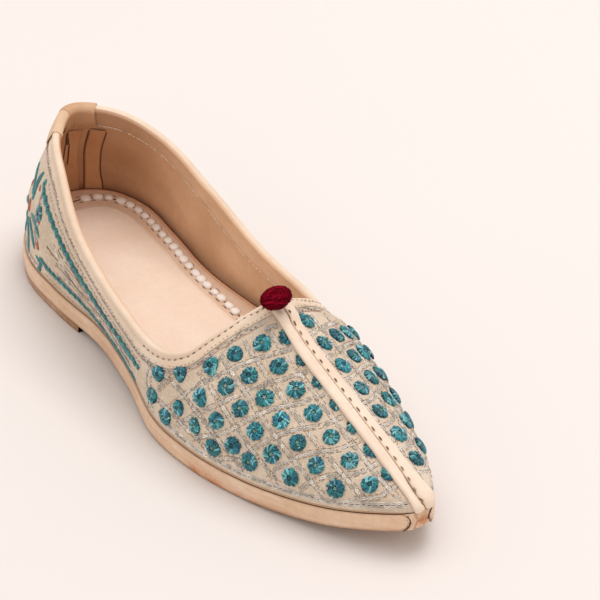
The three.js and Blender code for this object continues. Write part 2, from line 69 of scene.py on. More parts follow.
OUTLINE = [
    {"at": 0.955, "outer": 0.33, "inner": 0.34},
    {"at": 0.9, "outer": 0.525, "inner": 0.55},
    {"at": 0.83, "outer": 0.69, "inner": 0.725},
    {"at": 0.75, "outer": 0.84, "inner": 0.89},
    {"at": 0.66, "outer": 0.955, "inner": 1.0},
    {"at": 0.56, "outer": 0.965, "inner": 0.985},
    {"at": 0.45, "outer": 0.79, "inner": 0.83},
    {"at": 0.33, "outer": 0.69, "inner": 0.71},
    {"at": 0.21, "outer": 0.75, "inner": 0.74},
    {"at": 0.11, "outer": 0.735, "inner": 0.72},
    {"at": 0.035, "outer": 0.49, "inner": 0.48},
]
COLLAR = [
    {"at": 0.622, "outer": 0.3, "inner": 0.3, "up": 0.77, "front": True},
    {"at": 0.611, "outer": 0.56, "inner": 0.56, "up": 0.5, "front": True},
    {"at": 0.592, "outer": 0.76, "inner": 0.75, "up": 0.18, "front": True},
    {"at": 0.548, "outer": 0.87, "inner": 0.855, "up": 0.0, "front": False},
    {"at": 0.424, "outer": 0.85, "inner": 0.83, "up": 0.1, "front": False},
    {"at": 0.285, "outer": 0.78, "inner": 0.76, "up": 0.5, "front": False},
    {"at": 0.18, "outer": 0.6, "inner": 0.62, "up": 0.89, "front": False},
    {"at": 0.085, "outer": 0.34, "inner": 0.38, "up": 1.0, "front": False},
]
RIDGE = [{"at": 0.15, "up": 0.205}, {"at": 0.4, "up": 0.46}, {"at": 0.7, "up": 0.735}]
VAMP_LEAN = 0.2
TOE_SLOPE = 0.22
THROAT_SLOPE = 0.46
SIDE_BULGE = 0.22
HEEL_BULGE = 0.24
FULLNESS = 0.42
THROAT_SHARE = 0.345
CORNER_SHARE = 0.425
CORNER_ROW = 3
TIP_SHARE = 0.06
CURVE_STEPS = 24
HALF = BALL_WIDTH / 2


def lerp(a, b, t):
    return a + (b - a) * t


def smooth(x):
    x = np.clip(x, 0, 1)
    return x * x * (3 - 2 * x)


def centre(x):
    return -SWING * np.sin(np.pi * np.asarray(x) / LENGTH)


def unit(v):
    return v / np.maximum(np.linalg.norm(v, axis=-1, keepdims=True), 1e-12)


def through(knots, closed=False, per=CURVE_STEPS):
    """A centripetal Catmull-Rom curve through the knots."""
    k = np.asarray(knots, float)
    n = len(k)
    if closed:
        get = lambda i: k[i % n]
        count = n
    else:
        get = lambda i: 2 * k[0] - k[1] if i < 0 else (2 * k[-1] - k[-2] if i >= n else k[i])
        count = n - 1
    out = []
    for i in range(count):
        p0, p1, p2, p3 = get(i - 1), get(i), get(i + 1), get(i + 2)
        d0, d1, d2 = (max(np.linalg.norm(b - a) ** 0.5, 1e-4) for a, b in ((p0, p1), (p1, p2), (p2, p3)))
        t1 = ((p1 - p0) / d0 - (p2 - p0) / (d0 + d1) + (p2 - p1) / d1) * d1
        t2 = ((p2 - p1) / d1 - (p3 - p1) / (d1 + d2) + (p3 - p2) / d2) * d1
        for j in range(per):
            t = j / per
            out.append(
                p1 * (2 * t**3 - 3 * t**2 + 1) + p2 * (3 * t**2 - 2 * t**3)
                + t1 * (t**3 - 2 * t**2 + t) + t2 * (t**3 - t**2)
            )
    out.append(get(count))
    return np.array(out)


class Path:
    """A polyline read by its share of length."""

    def __init__(self, points):
        self.points = np.asarray(points, float)
        steps = np.linalg.norm(np.diff(self.points, axis=0), axis=1)
        self.at = np.concatenate([[0], np.cumsum(steps)])
        self.length = self.at[-1]

    def __call__(self, share):
        wanted = np.clip(np.asarray(share, float), 0, 1) * self.length
        return np.stack([np.interp(wanted, self.at, self.points[:, k]) for k in range(3)], -1)


def underside(x):
    x = np.asarray(x, float)
    front = TOE_SPRING * np.maximum(0, (x - BALL_FRONT) / (LENGTH - BALL_FRONT)) ** 2
    back = np.clip((BALL_BACK - x) / (BALL_BACK - HEEL_LENGTH), 0, 1)
    return np.where(x > BALL_BACK, front, HEEL_LIFT * smooth(back) + ARCH_RISE * np.sin(np.pi * back))


def sole_top(x):
    return underside(x) + SOLE_THICKNESS


def two_sides(first, outer, last, inner):
    knots = [first, *outer, last, *inner[::-1]]
    dense = through(knots, closed=True)
    middle = (len(outer) + 1) * CURVE_STEPS
    return dense[: middle + 1], dense[middle:][::-1]


tip = {"at": 0.998, "outer": TOE_WIDTH / BALL_WIDTH, "inner": TOE_WIDTH / BALL_WIDTH}


def foot_side(name, sign):
    return [
        np.array([r["at"] * LENGTH, centre(r["at"] * LENGTH) + sign * r[name] * HALF, 0.0])
        for r in [tip, *OUTLINE]
    ]


a, b = two_sides(np.array([LENGTH, 0, 0.0]), foot_side("outer", -1), np.zeros(3), foot_side("inner", 1))
FEATHER = {"outer": Path(a), "inner": Path(b)}
throat = np.array([THROAT_AT, centre(THROAT_AT), INSTEP_HEIGHT])
toe_top = np.array([RIDGE_AT, centre(RIDGE_AT), sole_top(RIDGE_AT) + TOE_HEIGHT])
knots = [toe_top]
for r in RIDGE:
    x = lerp(RIDGE_AT, THROAT_AT, r["at"])
    knots.append(np.array([x, centre(x), lerp(toe_top[2], INSTEP_HEIGHT, r["up"])]))
RIDGE_PATH = Path(through([*knots, throat]))


def collar_side(name, sign):
    out = []
    for r in COLLAR:
        x = r["at"] * LENGTH
        high = INSTEP_HEIGHT if r["front"] else BACK_HEIGHT
        out.append(np.array([x, centre(x) + sign * r[name] * HALF, lerp(SIDE_HEIGHT, high, r["up"])]))
    return out


back = np.array([BACK_LEAN, centre(BACK_LEAN), BACK_HEIGHT])
a, b = two_sides(throat, collar_side("outer", -1), back, collar_side("inner", 1))
corner = (CORNER_ROW + 1) * CURVE_STEPS
COLLAR_PATH = {
    "outer": (Path(a[: corner + 1]), Path(a[corner:])),
    "inner": (Path(b[: corner + 1]), Path(b[corner:])),
}


def foot(side, share, offset=0.0):
    """A point of the footprint, moved outwards, and the outward direction."""
    share = np.asarray(share, float)
    step = 0.004

    def at(s):
        # past an end the outline goes on round the other side
        other = "inner" if side == "outer" else "outer"
        low, high = s < 0, s > 1
        own = FEATHER[side](s)
        if np.any(low | high):
            own = np.where((low | high)[..., None], FEATHER[other](np.where(low, -s, 2 - s)), own)
        return own

    along = at(share + step) - at(share - step)
    if side == "inner":
        along = -along
    along = unit(along)
    out = np.stack([-along[..., 1], along[..., 0], 0 * along[..., 0]], -1)
    return at(share) + out * offset, out


def edge(side, share):
    share = np.asarray(share, float)
    front, rear = COLLAR_PATH[side]
    f = front(np.clip(share - THROAT_SHARE, 0, None) / (CORNER_SHARE - THROAT_SHARE))
    r = rear((share - CORNER_SHARE) / (1 - CORNER_SHARE))
    return np.where((share > CORNER_SHARE)[..., None], r, f)


def controls(side, share):
    share = np.asarray(share, float)
    point, out = foot(side, share)
    base = point.copy()
    base[..., 2] = sole_top(point[..., 0]) + SEAM
    top = np.where((share <= THROAT_SHARE)[..., None], RIDGE_PATH(share / THROAT_SHARE), edge(side, share))
    chord = top - base
    length = np.linalg.norm(chord, axis=-1, keepdims=True)
    chord = chord / length
    quarter = smooth((share - THROAT_SHARE) / (CORNER_SHARE - THROAT_SHARE))[..., None]
    bulge = lerp(SIDE_BULGE, HEEL_BULGE, np.maximum(0, -out[..., :1]))
    up = np.array([0, 0, 1.0])
    sideways = np.array([0, 1.0 if side == "outer" else -1.0, 0])
    near_tip = (1 - np.minimum(1, share / TIP_SHARE))[..., None]
    inward = sideways * (1 - near_tip) + np.array([-1.0, 0, 0]) * near_tip
    leave = unit(up + out * VAMP_LEAN)
    leave = unit(lerp(leave, unit(chord + out * bulge), quarter))
    rise = lerp(TOE_SLOPE, THROAT_SLOPE, np.minimum(1, share / THROAT_SHARE))[..., None]
    arrive = unit(unit(inward) + up * rise)
    arrive = unit(lerp(arrive, unit(chord - out * bulge), quarter))
    handle = FULLNESS * length
    return base, base + leave * handle, top - arrive * handle, top


def surface(side, share, height):
    """Points of the upper's outer face. share runs from toe to heel, height from the sole to the edge."""
    p0, p1, p2, p3 = controls(side, np.asarray(share, float))
    h = np.asarray(height, float)[..., None]
    return (1 - h) ** 3 * p0 + 3 * (1 - h) ** 2 * h * p1 + 3 * (1 - h) * h**2 * p2 + h**3 * p3


# Where the source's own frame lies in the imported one
def ring_of(offset, side_steps=400):
    s = np.linspace(0, 1, side_steps)
    return foot("outer", s, offset)[0], foot("inner", s, offset)[0]


lift_low, lift_high = (np.array(c) * 1000 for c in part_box("heel_lift"))
lift_outer, lift_inner = ring_of(0.5)
lift_points = np.concatenate([p[p[:, 0] < HEEL_LENGTH - 0.6] for p in (lift_outer, lift_inner)])
SHIFT = np.array(
    [lift_low[0] - lift_points[:, 0].min(), lift_low[1] - lift_points[:, 1].min(), 0.0]
)


def to_scene(points):
    return (np.asarray(points, float) + SHIFT) / 1000


pieces = []


def make(name, points, faces, materials, slots=None, smooth=True, values=None, flat=None):
    """A mesh from points in mm, with faces as an array of quads or triangles."""
    mesh = bpy.data.meshes.new(name)
    points = to_scene(points)
    faces = np.asarray(faces, np.int32)
    mesh.vertices.add(len(points))
    mesh.vertices.foreach_set("co", points.astype(np.float32).ravel())
    mesh.loops.add(faces.size)
    mesh.loops.foreach_set("vertex_index", faces.ravel())
    mesh.polygons.add(len(faces))
    mesh.polygons.foreach_set("loop_start", np.arange(0, faces.size, faces.shape[1], dtype=np.int32))
    mesh.polygons.foreach_set("use_smooth", np.full(len(faces), smooth))
    for m in materials if isinstance(materials, (list, tuple)) else [materials]:
        mesh.materials.append(m)
    if slots is not None:
        mesh.polygons.foreach_set("material_index", np.asarray(slots, np.int32))
    for key, data in (values or {}).items():
        data = np.asarray(data, np.float32)
        kind = "FLOAT" if data.ndim == 1 else "FLOAT_VECTOR"
        layer = mesh.attributes.new(key, kind, "POINT")
        layer.data.foreach_set("value" if data.ndim == 1 else "vector", data.ravel())
    mesh.update(calc_edges=True)
    mesh.validate()
    obj = bpy.data.objects.new(name, mesh)
    bpy.context.scene.collection.objects.link(obj)
    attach(obj, "root")
    pieces.append(obj)
    return obj


def grid(rows, columns, wrap_rows=False, wrap_columns=False):
    """Quads between a grid's neighbouring points."""
    r = np.arange(rows if wrap_rows else rows - 1)
    c = np.arange(columns if wrap_columns else columns - 1)
    i, j = np.meshgrid(r, c, indexing="ij")
    i2, j2 = (i + 1) % rows, (j + 1) % columns
    quads = np.stack([i * columns + j, i * columns + j2, i2 * columns + j2, i2 * columns + j], -1)
    return quads.reshape(-1, 4)


def grid_normals(p, wrap_rows=False):
    """Normals of a grid of points, from the differences of its neighbours."""
    du = np.gradient(p, axis=0)
    if wrap_rows:
        du[0] = (p[1] - p[-1]) / 2
        du[-1] = (p[0] - p[-2]) / 2
    dv = np.gradient(p, axis=1)
    return unit(np.cross(du, dv))


# Materials
class Shader:
    """A material with its node tree and short ways to add nodes."""

    def __init__(self, name, **sockets):
        self.material = bpy.data.materials.new(name)
        self.material.use_nodes = True
        self.tree = self.material.node_tree
        self.bsdf = self.tree.nodes["Principled BSDF"]
        self.place = self.tree.nodes.new("ShaderNodeTexCoord").outputs["Object"]
        for key, value in sockets.items():
            self.bsdf.inputs[key.replace("_", " ")].default_value = value

    def add(self, kind, out=0, settings=None, **inputs):
        node = self.tree.nodes.new(kind)
        for key, value in (settings or {}).items():
            setattr(node, key, value)
        for key, value in inputs.items():
            socket = node.inputs[int(key[1:])] if key[1:].isdigit() else node.inputs[key.replace("_", " ")]
            self.put(socket, value)
        return node.outputs[out]

    def put(self, socket, value):
        if isinstance(value, bpy.types.NodeSocket):
            self.tree.links.new(value, socket)
        else:
            socket.default_value = value

    def noise(self, scale, detail=3.0, roughness=0.5, vector=None):
        return self.add(
            "ShaderNodeTexNoise", Vector=vector or self.place, Scale=scale, Detail=detail, Roughness=roughness
        )

    def cells(self, scale, out="Distance", vector=None, **settings):
        return self.add("ShaderNodeTexVoronoi", out, settings, Vector=vector or self.place, Scale=scale)

    def stretched(self, x, y, z):
        return self.add("ShaderNodeMapping", Vector=self.place, Scale=(x, y, z))

    def math(self, kind, a, b=0.5, clamp=False):
        return self.add("ShaderNodeMath", 0, {"operation": kind, "use_clamp": clamp}, _0=a, _1=b)

    def span(self, value, low, high, to_low=0.0, to_high=1.0):
        return self.add("ShaderNodeMapRange", _0=value, _1=low, _2=high, _3=to_low, _4=to_high)

    def mix(self, share, a, b, kind="MIX"):
        settings = {"data_type": "RGBA", "blend_type": kind}
        return self.add("ShaderNodeMix", 2, settings, _0=share, _6=a, _7=b)

    def value(self, name):
        return self.add("ShaderNodeAttribute", "Fac", {"attribute_name": name})

    def tint(self, name):
        return self.add("ShaderNodeAttribute", "Color", {"attribute_name": name})

    def bump(self, height, strength, distance, under=None):
        extra = {"Normal": under} if under else {}
        return self.add("ShaderNodeBump", Height=height, Strength=strength, Distance=distance, **extra)

    def finish(self, colour, roughness=None, normal=None):
        self.put(self.bsdf.inputs["Base Color"], colour)
        if roughness is not None:
            self.put(self.bsdf.inputs["Roughness"], roughness)
        if normal is not None:
            self.put(self.bsdf.inputs["Normal"], normal)
        return self.material


def rgb(r, g, b):
    """A colour from its display values."""
    return tuple(((v / 255 + 0.055) / 1.055) ** 2.4 if v > 10 else v / 255 / 12.92 for v in (r, g, b)) + (1.0,)


def leather(name, light, dark, roughness=0.5, grain=0.5, painted_shade_and_patina=None):
    """Smooth vegetable leather: blotchy tone, fine pores and hair-fine wrinkles."""
    s = Shader(name, Specular_IOR_Level=0.4)
    broad = s.noise(38, 4, 0.55)
    fine = s.noise(420, 3, 0.6)
    colour = s.mix(s.span(broad, 0.35, 0.68), dark, light)
    colour = s.mix(s.span(fine, 0.35, 0.75, 0.0, 0.16), colour, tuple(0.72 * c for c in dark[:3]) + (1.0,))
    # where the mesh gives a value, the colour darkens towards a brown: painted shade in corners, partly the leather's
    # own darkening with wear
    if painted_shade_and_patina:
        colour = s.mix(s.value("painted_shade_and_patina"), colour, painted_shade_and_patina)
    pores = s.cells(1500)
    wrinkles = s.noise(900, 4, 0.65)
    height = s.math("ADD", s.math("MULTIPLY", pores, 0.35), wrinkles)
    normal = s.bump(height, grain, 0.00025)
    return s.finish(colour, s.span(fine, 0.3, 0.7, roughness - 0.08, roughness + 0.1), normal)


def nubby_leather(name, light, dark):
    """The embroidered ground: a matt, finely nubby face with paler and greyer flecks."""
    s = Shader(name, Specular_IOR_Level=0.25)
    broad = s.noise(45, 4, 0.6)
    fleck = s.noise(1100, 3, 0.7)
    threads = s.noise(520, 2, 0.5, s.stretched(1, 4, 1))
    colour = s.mix(s.span(broad, 0.32, 0.7), dark, light)
    colour = s.mix(s.span(fleck, 0.5, 0.75, 0.0, 0.4), colour, rgb(176, 156, 134))
    colour = s.mix(s.span(threads, 0.52, 0.72, 0.0, 0.35), colour, rgb(248, 240, 226))
    height = s.math("ADD", s.math("ADD", fleck, threads), s.math("MULTIPLY", s.cells(1700), 0.5))
    return s.finish(colour, s.span(fleck, 0.3, 0.7, 0.6, 0.8), s.bump(height, 0.9, 0.0004))


def edge_leather(name, grain=0.5):
    """The sole's leather, with scuffs where the mesh says so, and darkening where the mesh says so: a darker lower
    edge, and painted shade in gaps, round the strip's ends, on the heel lift and in the stub's hollows.
    """
    s = Shader(name, Specular_IOR_Level=0.4)
    broad = s.noise(40, 4, 0.55)
    fine = s.noise(380, 3, 0.6)
    fibres = s.noise(90, 5, 0.65, s.stretched(1, 1, 7))
    colour = s.mix(s.span(broad, 0.35, 0.68), rgb(230, 196, 164), rgb(242, 214, 187))
    colour = s.mix(s.span(fibres, 0.42, 0.72, 0.0, 0.45), colour, rgb(206, 162, 124))
    colour = s.mix(s.span(fine, 0.35, 0.75, 0.0, 0.14), colour, rgb(150, 106, 72))
    patch = s.math("MULTIPLY", s.value("stain"), s.span(s.noise(160, 5, 0.7), 0.25, 0.58, 0.0, 1.25))
    colour = s.mix(patch, colour, rgb(202, 126, 72))
    # the mesh's darkening: a darker lower edge, and painted shade where parts of the sole lie in shade
    wear_and_painted_shade = s.math("MULTIPLY", s.value("wear_and_painted_shade"), s.span(s.noise(120, 4, 0.6), 0.2, 0.6, 0.45, 1.0))
    colour = s.mix(wear_and_painted_shade, colour, rgb(150, 104, 68))
    height = s.math("ADD", s.math("MULTIPLY", s.cells(1300), 0.3), s.math("ADD", fine, fibres))
    return s.finish(colour, s.span(fine, 0.3, 0.7, 0.42, 0.62), s.bump(height, grain, 0.0003))


BINDING = leather("binding_leather", rgb(238, 219, 197), rgb(226, 202, 176), 0.5, 0.7)
CREAM = leather("cream_leather", rgb(244, 226, 206), rgb(234, 210, 186), 0.48, 0.45)
TAN = edge_leather("sole_leather")
STUB = edge_leather("rough_leather", 0.9)
LINING = leather("lining_leather", rgb(238, 200, 163), rgb(216, 175, 137), 0.52, 0.5, rgb(146, 84, 38))
FACING = leather("facing_leather", rgb(242, 208, 176), rgb(226, 188, 152), 0.5, 0.45, rgb(150, 92, 48))
# two copies of the heel tab's leather: the far tab's is darker, partly as painted shade
TAB_NEAR = leather("heel_tab_pale", rgb(234, 204, 172), rgb(208, 172, 136), 0.5, 0.8)
TAB = leather("heel_tab_shaded_leather", rgb(218, 178, 142), rgb(190, 146, 108), 0.5, 0.8)
BORDER = leather("insole_border", rgb(231, 205, 180), rgb(222, 190, 163), 0.5, 0.5)
PAD = leather("insole_pad", rgb(243, 226, 208), rgb(239, 216, 196), 0.46, 0.35)
CLOTH = nubby_leather("embroidered_leather", rgb(231, 215, 194), rgb(210, 190, 166))
WOOL = leather("wool", rgb(120, 2, 24), rgb(72, 0, 12), 0.95, 1.0)
BEAD = leather("white_thong", rgb(255, 252, 247), rgb(246, 240, 232), 0.4, 0.4)


# The wall of the upper as a fine grid. Columns run from the toe round the outer side to the heel and back
# along the inner side, and rows from the sole up to the ridge or the edge.
VAMP_COLUMNS = 130
CORNER_COLUMNS = 54
REAR_COLUMNS = 130
WALL_ROWS = 96


def crowded(x):
    return lerp(x, smooth(x), 0.75)


SHARES = np.concatenate([
    THROAT_SHARE * crowded(np.arange(VAMP_COLUMNS) / VAMP_COLUMNS),
    lerp(THROAT_SHARE, CORNER_SHARE, np.arange(CORNER_COLUMNS) / CORNER_COLUMNS),
    lerp(CORNER_SHARE, 1.0, np.arange(REAR_COLUMNS + 1) / REAR_COLUMNS),
])
HEIGHTS = 1 - (1 - np.linspace(0, 1, WALL_ROWS + 1)) ** 1.15
LAST = len(SHARES) - 1
COLUMNS = 2 * LAST


def both_sides(outer, inner):
    """One run of columns all the way round from the columns of the two sides."""
    return np.concatenate([outer, inner[1:-1][::-1]])


def base_wall():
    s, h = np.meshgrid(SHARES, HEIGHTS, indexing="ij")
    sides = [surface(side, s.ravel(), h.ravel()).reshape(*s.shape, 3) for side in ("outer", "inner")]
    return both_sides(*sides)


def wall_normals(points):
    normals = -grid_normals(points, wrap_rows=True)
    for k in range(1, VAMP_COLUMNS + 1):
        normals[k, -1] = normals[COLUMNS - k, -1] = unit(normals[k, -1] + normals[COLUMNS - k, -1])
    normals[0, -1] = unit(normals[1, -1] * [1, 0, 1])
    return unit(normals)


BASE = base_wall()
BASE_NORMALS = wall_normals(BASE)
steps = np.linalg.norm(np.diff(BASE, axis=1), axis=2)
CLIMB = np.concatenate([np.zeros((COLUMNS, 1)), np.cumsum(steps, axis=1)], axis=1)
girth = CLIMB[:, -1].copy()
girth[VAMP_COLUMNS : COLUMNS - VAMP_COLUMNS + 1] = girth[VAMP_COLUMNS]
FROM_RIDGE = girth[:, None] - CLIMB
SIDE_SIGN = np.where(np.arange(COLUMNS) <= LAST, -1.0, 1.0)


CREASES = [
    (-1, (0.400, 14.0), (0.470, 11.0), -0.7, 3.2),
    (-1, (0.445, 19.0), (0.520, 12.5), -0.45, 2.6),
    (-1, (0.560, 10.0), (0.660, 14.0), -0.4, 3.4),
    (-1, (0.690, 9.0), (0.780, 19.0), -0.4, 3.6),
    (-1, (0.865, 12.0), (0.945, 16.0), -0.5, 3.4),
    (-1, (0.880, 30.0), (0.960, 26.0), -0.4, 3.0),
    (-1, (0.330, 9.0), (0.385, 20.0), -0.4, 3.0),
    (-1, (0.105, 13.0), (0.190, 17.0), -0.3, 3.6),
    (1, (0.400, 13.0), (0.475, 11.0), -0.7, 3.2),
    (1, (0.440, 20.0), (0.515, 14.0), -0.5, 2.8),
    (1, (0.580, 9.0), (0.690, 15.0), -0.45, 3.4),
    (1, (0.720, 11.0), (0.810, 21.0), -0.4, 3.6),
    (1, (0.880, 13.0), (0.955, 17.0), -0.5, 3.4),
    (1, (0.325, 9.0), (0.390, 19.0), -0.45, 3.0),
    (1, (0.110, 13.0), (0.185, 18.0), -0.3, 3.6),
]


def wall_form():
    """Soft hollows and swells of the leather, in mm along the wall's normal."""
    share = both_sides(SHARES, SHARES)[:, None] * 400
    side = SIDE_SIGN[:, None]
    climb = CLIMB
    form = np.zeros(BASE.shape[:2])
    for sign, start, end, depth, width in CREASES:
        a = np.array([start[0] * 400, start[1]], float)
        b = np.array([end[0] * 400, end[1]], float)
        run = (b - a) / ((b - a) @ (b - a))
        t = np.clip((share - a[0]) * run[0] + (climb - a[1]) * run[1], 0, 1)
        away = np.hypot(share - (a[0] + (b - a)[0] * t), climb - (a[1] + (b - a)[1] * t))
        fold = np.exp(-((away / width) ** 2)) - 0.45 * np.exp(-(((away - 2.1 * width) / width) ** 2))
        form += np.where(side == sign, depth, 0) * fold * (0.25 + 0.75 * np.sin(np.pi * t))
    form += 0.16 * np.sin(share * 0.031 + climb * 0.12 + side) * np.sin(climb * 0.19 - share * 0.02 + 1)
    near_sole = smooth(climb / 5)
    near_edge = smooth((climb[:, -1:] - climb) / 4)
    return form * near_sole * near_edge


WALL_POINTS = BASE + BASE_NORMALS * wall_form()[..., None]
WALL_NORMALS = wall_normals(WALL_POINTS)


def tree_of(points):
    tree = KDTree(len(points))
    for i, p in enumerate(points):
        tree.insert(p, i)
    tree.balance()
    return tree


FLAT_POINTS = WALL_POINTS[::2, ::2].reshape(-1, 3)
FLAT_NORMALS = WALL_NORMALS[::2, ::2].reshape(-1, 3)
WALL_TREE = tree_of(FLAT_POINTS)


def seat(points):
    """The places on the wall nearest to points, and the wall's normals there."""
    shape = np.shape(points)
    points = np.reshape(points, (-1, 3))
    places = np.empty_like(points)
    outs = np.empty_like(points)
    for i, p in enumerate(points):
        near = WALL_TREE.find_n(p, 4)
        weights = np.array([1 / (distance + 0.05) for _, _, distance in near])
        index = [k for _, k, _ in near]
        out = unit((FLAT_NORMALS[index] * weights[:, None]).sum(0))
        first = FLAT_POINTS[index[0]]
        places[i] = p - out * np.dot(p - first, out)
        outs[i] = out
    return places.reshape(shape), outs.reshape(shape)


def on_wall(side, share, height, lift=0.0):
    """Points at shares round and heights up one side of the wall, and the wall's normals there."""
    share, height = np.broadcast_arrays(np.asarray(share, float), np.asarray(height, float))
    column = np.interp(share, SHARES, np.arange(LAST + 1.0))
    row = np.interp(height, HEIGHTS, np.arange(WALL_ROWS + 1.0))
    low_column = np.minimum(column.astype(int), LAST - 1)
    low_row = np.minimum(row.astype(int), WALL_ROWS - 1)
    a = (column - low_column)[..., None]
    b = (row - low_row)[..., None]

    def read(table):
        def at(i, j):
            return table[i if side == "outer" else (COLUMNS - i) % COLUMNS, j]

        near = at(low_column, low_row) * (1 - b) + at(low_column, low_row + 1) * b
        far = at(low_column + 1, low_row) * (1 - b) + at(low_column + 1, low_row + 1) * b
        return near * (1 - a) + far * a

    normal = unit(read(WALL_NORMALS))
    return read(WALL_POINTS) + normal * np.asarray(lift)[..., None], normal


# Frames round the edge of the opening, from the throat round the outer side and back
edge_columns = np.concatenate([np.arange(VAMP_COLUMNS, COLUMNS - VAMP_COLUMNS), [COLUMNS - VAMP_COLUMNS]])
EDGE = WALL_POINTS[edge_columns, -1]
EDGE_PATH = Path(EDGE)


EDGE_TREE = tree_of(EDGE)


def from_edge(points):
    """Distances of points from the edge of the opening."""
    return np.array([EDGE_TREE.find(p)[2] for p in points.reshape(-1, 3)]).reshape(points.shape[:-1])


RIM = 1.2
SKIVED = 12.0


def wall_thickness(depth):
    """The leather and its lining are pared thinner towards the edge."""
    return lerp(RIM, WALL, smooth(np.asarray(depth) / SKIVED))


def frames_of_edge(count=900, spread=9):
    """Points, outward normals and directions down the wall, evenly round the edge."""
    shares = np.arange(count) / count
    step = 0.0025
    point = EDGE_PATH(shares)
    along = unit(EDGE_PATH((shares + step) % 1.0) - EDGE_PATH((shares - step) % 1.0))
    out = np.stack(
        [np.interp(shares * EDGE_PATH.length, EDGE_PATH.at, WALL_NORMALS[edge_columns, -1, k]) for k in range(3)], -1
    )
    for _ in range(2):
        down = unit(np.cross(unit(out), along))
        probe, out = seat(point + down * 3)
    down = unit(probe - point)
    kernel = np.hanning(2 * spread + 3)[1:-1]
    kernel /= kernel.sum()
    for _ in range(2):
        padded = np.concatenate([down[-spread:], down, down[:spread]])
        down = np.stack([np.convolve(padded[:, k], kernel, "valid") for k in range(3)], -1)
        down = unit(down - along * (down * along).sum(-1, keepdims=True))
    return point, unit(np.cross(along, down)), down


EDGE_FRAMES = frames_of_edge()


# Upper: its outer face and the rims, and the lining one wall further in
def upper_shell():
    outside = WALL_POINTS.reshape(-1, 3)
    faces = grid(COLUMNS, WALL_ROWS + 1, wrap_rows=True)
    inner_face = WALL_POINTS - WALL_NORMALS * wall_thickness(from_edge(WALL_POINTS))[..., None]
    row = WALL_ROWS + 1
    base = len(outside)
    rims = np.concatenate([inner_face[:, 0], inner_face[:, -1]])
    rim_faces = []
    for k in range(COLUMNS):
        n = (k + 1) % COLUMNS
        rim_faces.append([k * row, base + k, base + n, n * row])
        if VAMP_COLUMNS <= k < COLUMNS - VAMP_COLUMNS:
            top, far = base + COLUMNS + k, base + COLUMNS + n
            rim_faces.append([k * row + row - 1, n * row + row - 1, far, top])
    shell = make("upper_face", np.concatenate([outside, rims]), np.concatenate([faces[:, ::-1], rim_faces]), CLOTH)
    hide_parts("upper")
    inside = inner_face[::2, ::2]
    share = both_sides(SHARES, SHARES)[::2, None]
    climb = CLIMB[::2, ::2]
    # darkening of the lining: painted shade falling into the heel's corner, partly the leather's own darkening with
    # wear, and painted shade low on the wall where it meets the insole
    painted_shade_and_patina = 0.62 * smooth((share - 0.78) / 0.2) * (1 - 0.35 * smooth((climb - 22) / 16))
    painted_shade_and_patina = painted_shade_and_patina + 0.45 * (1 - smooth(climb / 11))
    quads = grid(inside.shape[0], inside.shape[1], wrap_rows=True)
    lining = make("upper_lining", inside.reshape(-1, 3), quads, LINING, values={"painted_shade_and_patina": painted_shade_and_patina.ravel()})
    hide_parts("upper")
    return shell, lining


upper_shell()


class EdgeSweep:
    """Places in the cross-section of a fold over the edge, at many stations along it."""

    def __init__(self, shares):
        at = (np.asarray(shares) % 1.0) * len(EDGE_FRAMES[0])
        low = at.astype(int) % len(EDGE_FRAMES[0])
        part = (at - at.astype(int))[:, None]
        high = (low + 1) % len(EDGE_FRAMES[0])
        self.point, self.out, self.down = (t[low] * (1 - part) + t[high] * part for t in EDGE_FRAMES)
        self.out, self.down = unit(self.out), unit(self.down)
        from_front = np.abs((np.asarray(shares) + 0.5) % 1.0 - 0.5)
        self.front = 1 - smooth((from_front - 0.085) / 0.05)

    def beside(self, depth, lift, side=1):
        """On the outside (side 1) or the inside (side -1), a depth under the edge and a lift off the leather."""
        depth = np.broadcast_to(depth, len(self.point)).astype(float)
        if np.max(depth) > 0.01:
            place, out = seat(self.point + self.down * depth[:, None])
            blend = smooth(depth / 3)[:, None]
            out = unit(lerp(self.out, out, blend))
        else:
            place, out = self.point, self.out
        lift = np.broadcast_to(lift, len(self.point))
        return place + out * (lift if side > 0 else -wall_thickness(depth) - lift)[:, None]

    def crown(self, angle, wide, high):
        """Over the edge: angle 0 is the outside and pi the inside."""
        middle = self.point - self.out * RIM / 2
        return middle + self.out * np.cos(angle) * (RIM / 2 + wide) - self.down * np.sin(angle) * high


def band_depths(sweep):
    """How far the binding and its stitched groove lie under the edge: less along the throat than on the sides."""
    return lerp(BINDING_WIDTH, 4.7, sweep.front), lerp(GROOVE, 1.05, sweep.front)


def binding_rings(sweep, inside, near, thick):
    """Rings of a binding: lower outside edge, band, groove, roll, crown and inside leg."""
    width, groove = band_depths(sweep)
    roll = lerp(1.6, 1.0, sweep.front)
    band = [
        (width, 0.0), (width, 0.45), (width - 0.12, 0.75), (width - 0.5, 0.95), (width - 1.3, 1.0),
        (lerp(groove, width, 0.45), 1.05), (groove + 0.6, 0.95), (groove + 0.3, 0.65), (groove, 0.45),
        (groove * 0.86, 0.6), (groove * 0.7, 0.45 * roll + 0.35), (groove * 0.4, 0.95 * roll), (0.0, roll),
    ]
    rings = [sweep.beside(depth, near + thick * t) for depth, t in band]
    for angle in np.linspace(0, np.pi, 11)[1:-1]:
        over = (near + roll * thick)[:, None]
        rings.append(sweep.crown(angle, over, 0.05 + (roll * thick)[:, None]))
    hem = [(0.0, roll), (1.5, 1.25), (3.0, 1.1), (0.6 * inside, 1.0), (inside - 0.5, 0.9), (inside, 0.6), (inside, 0.0)]
    rings += [sweep.beside(depth, near + thick * t, -1) for depth, t in hem]
    return np.stack(rings, 1)


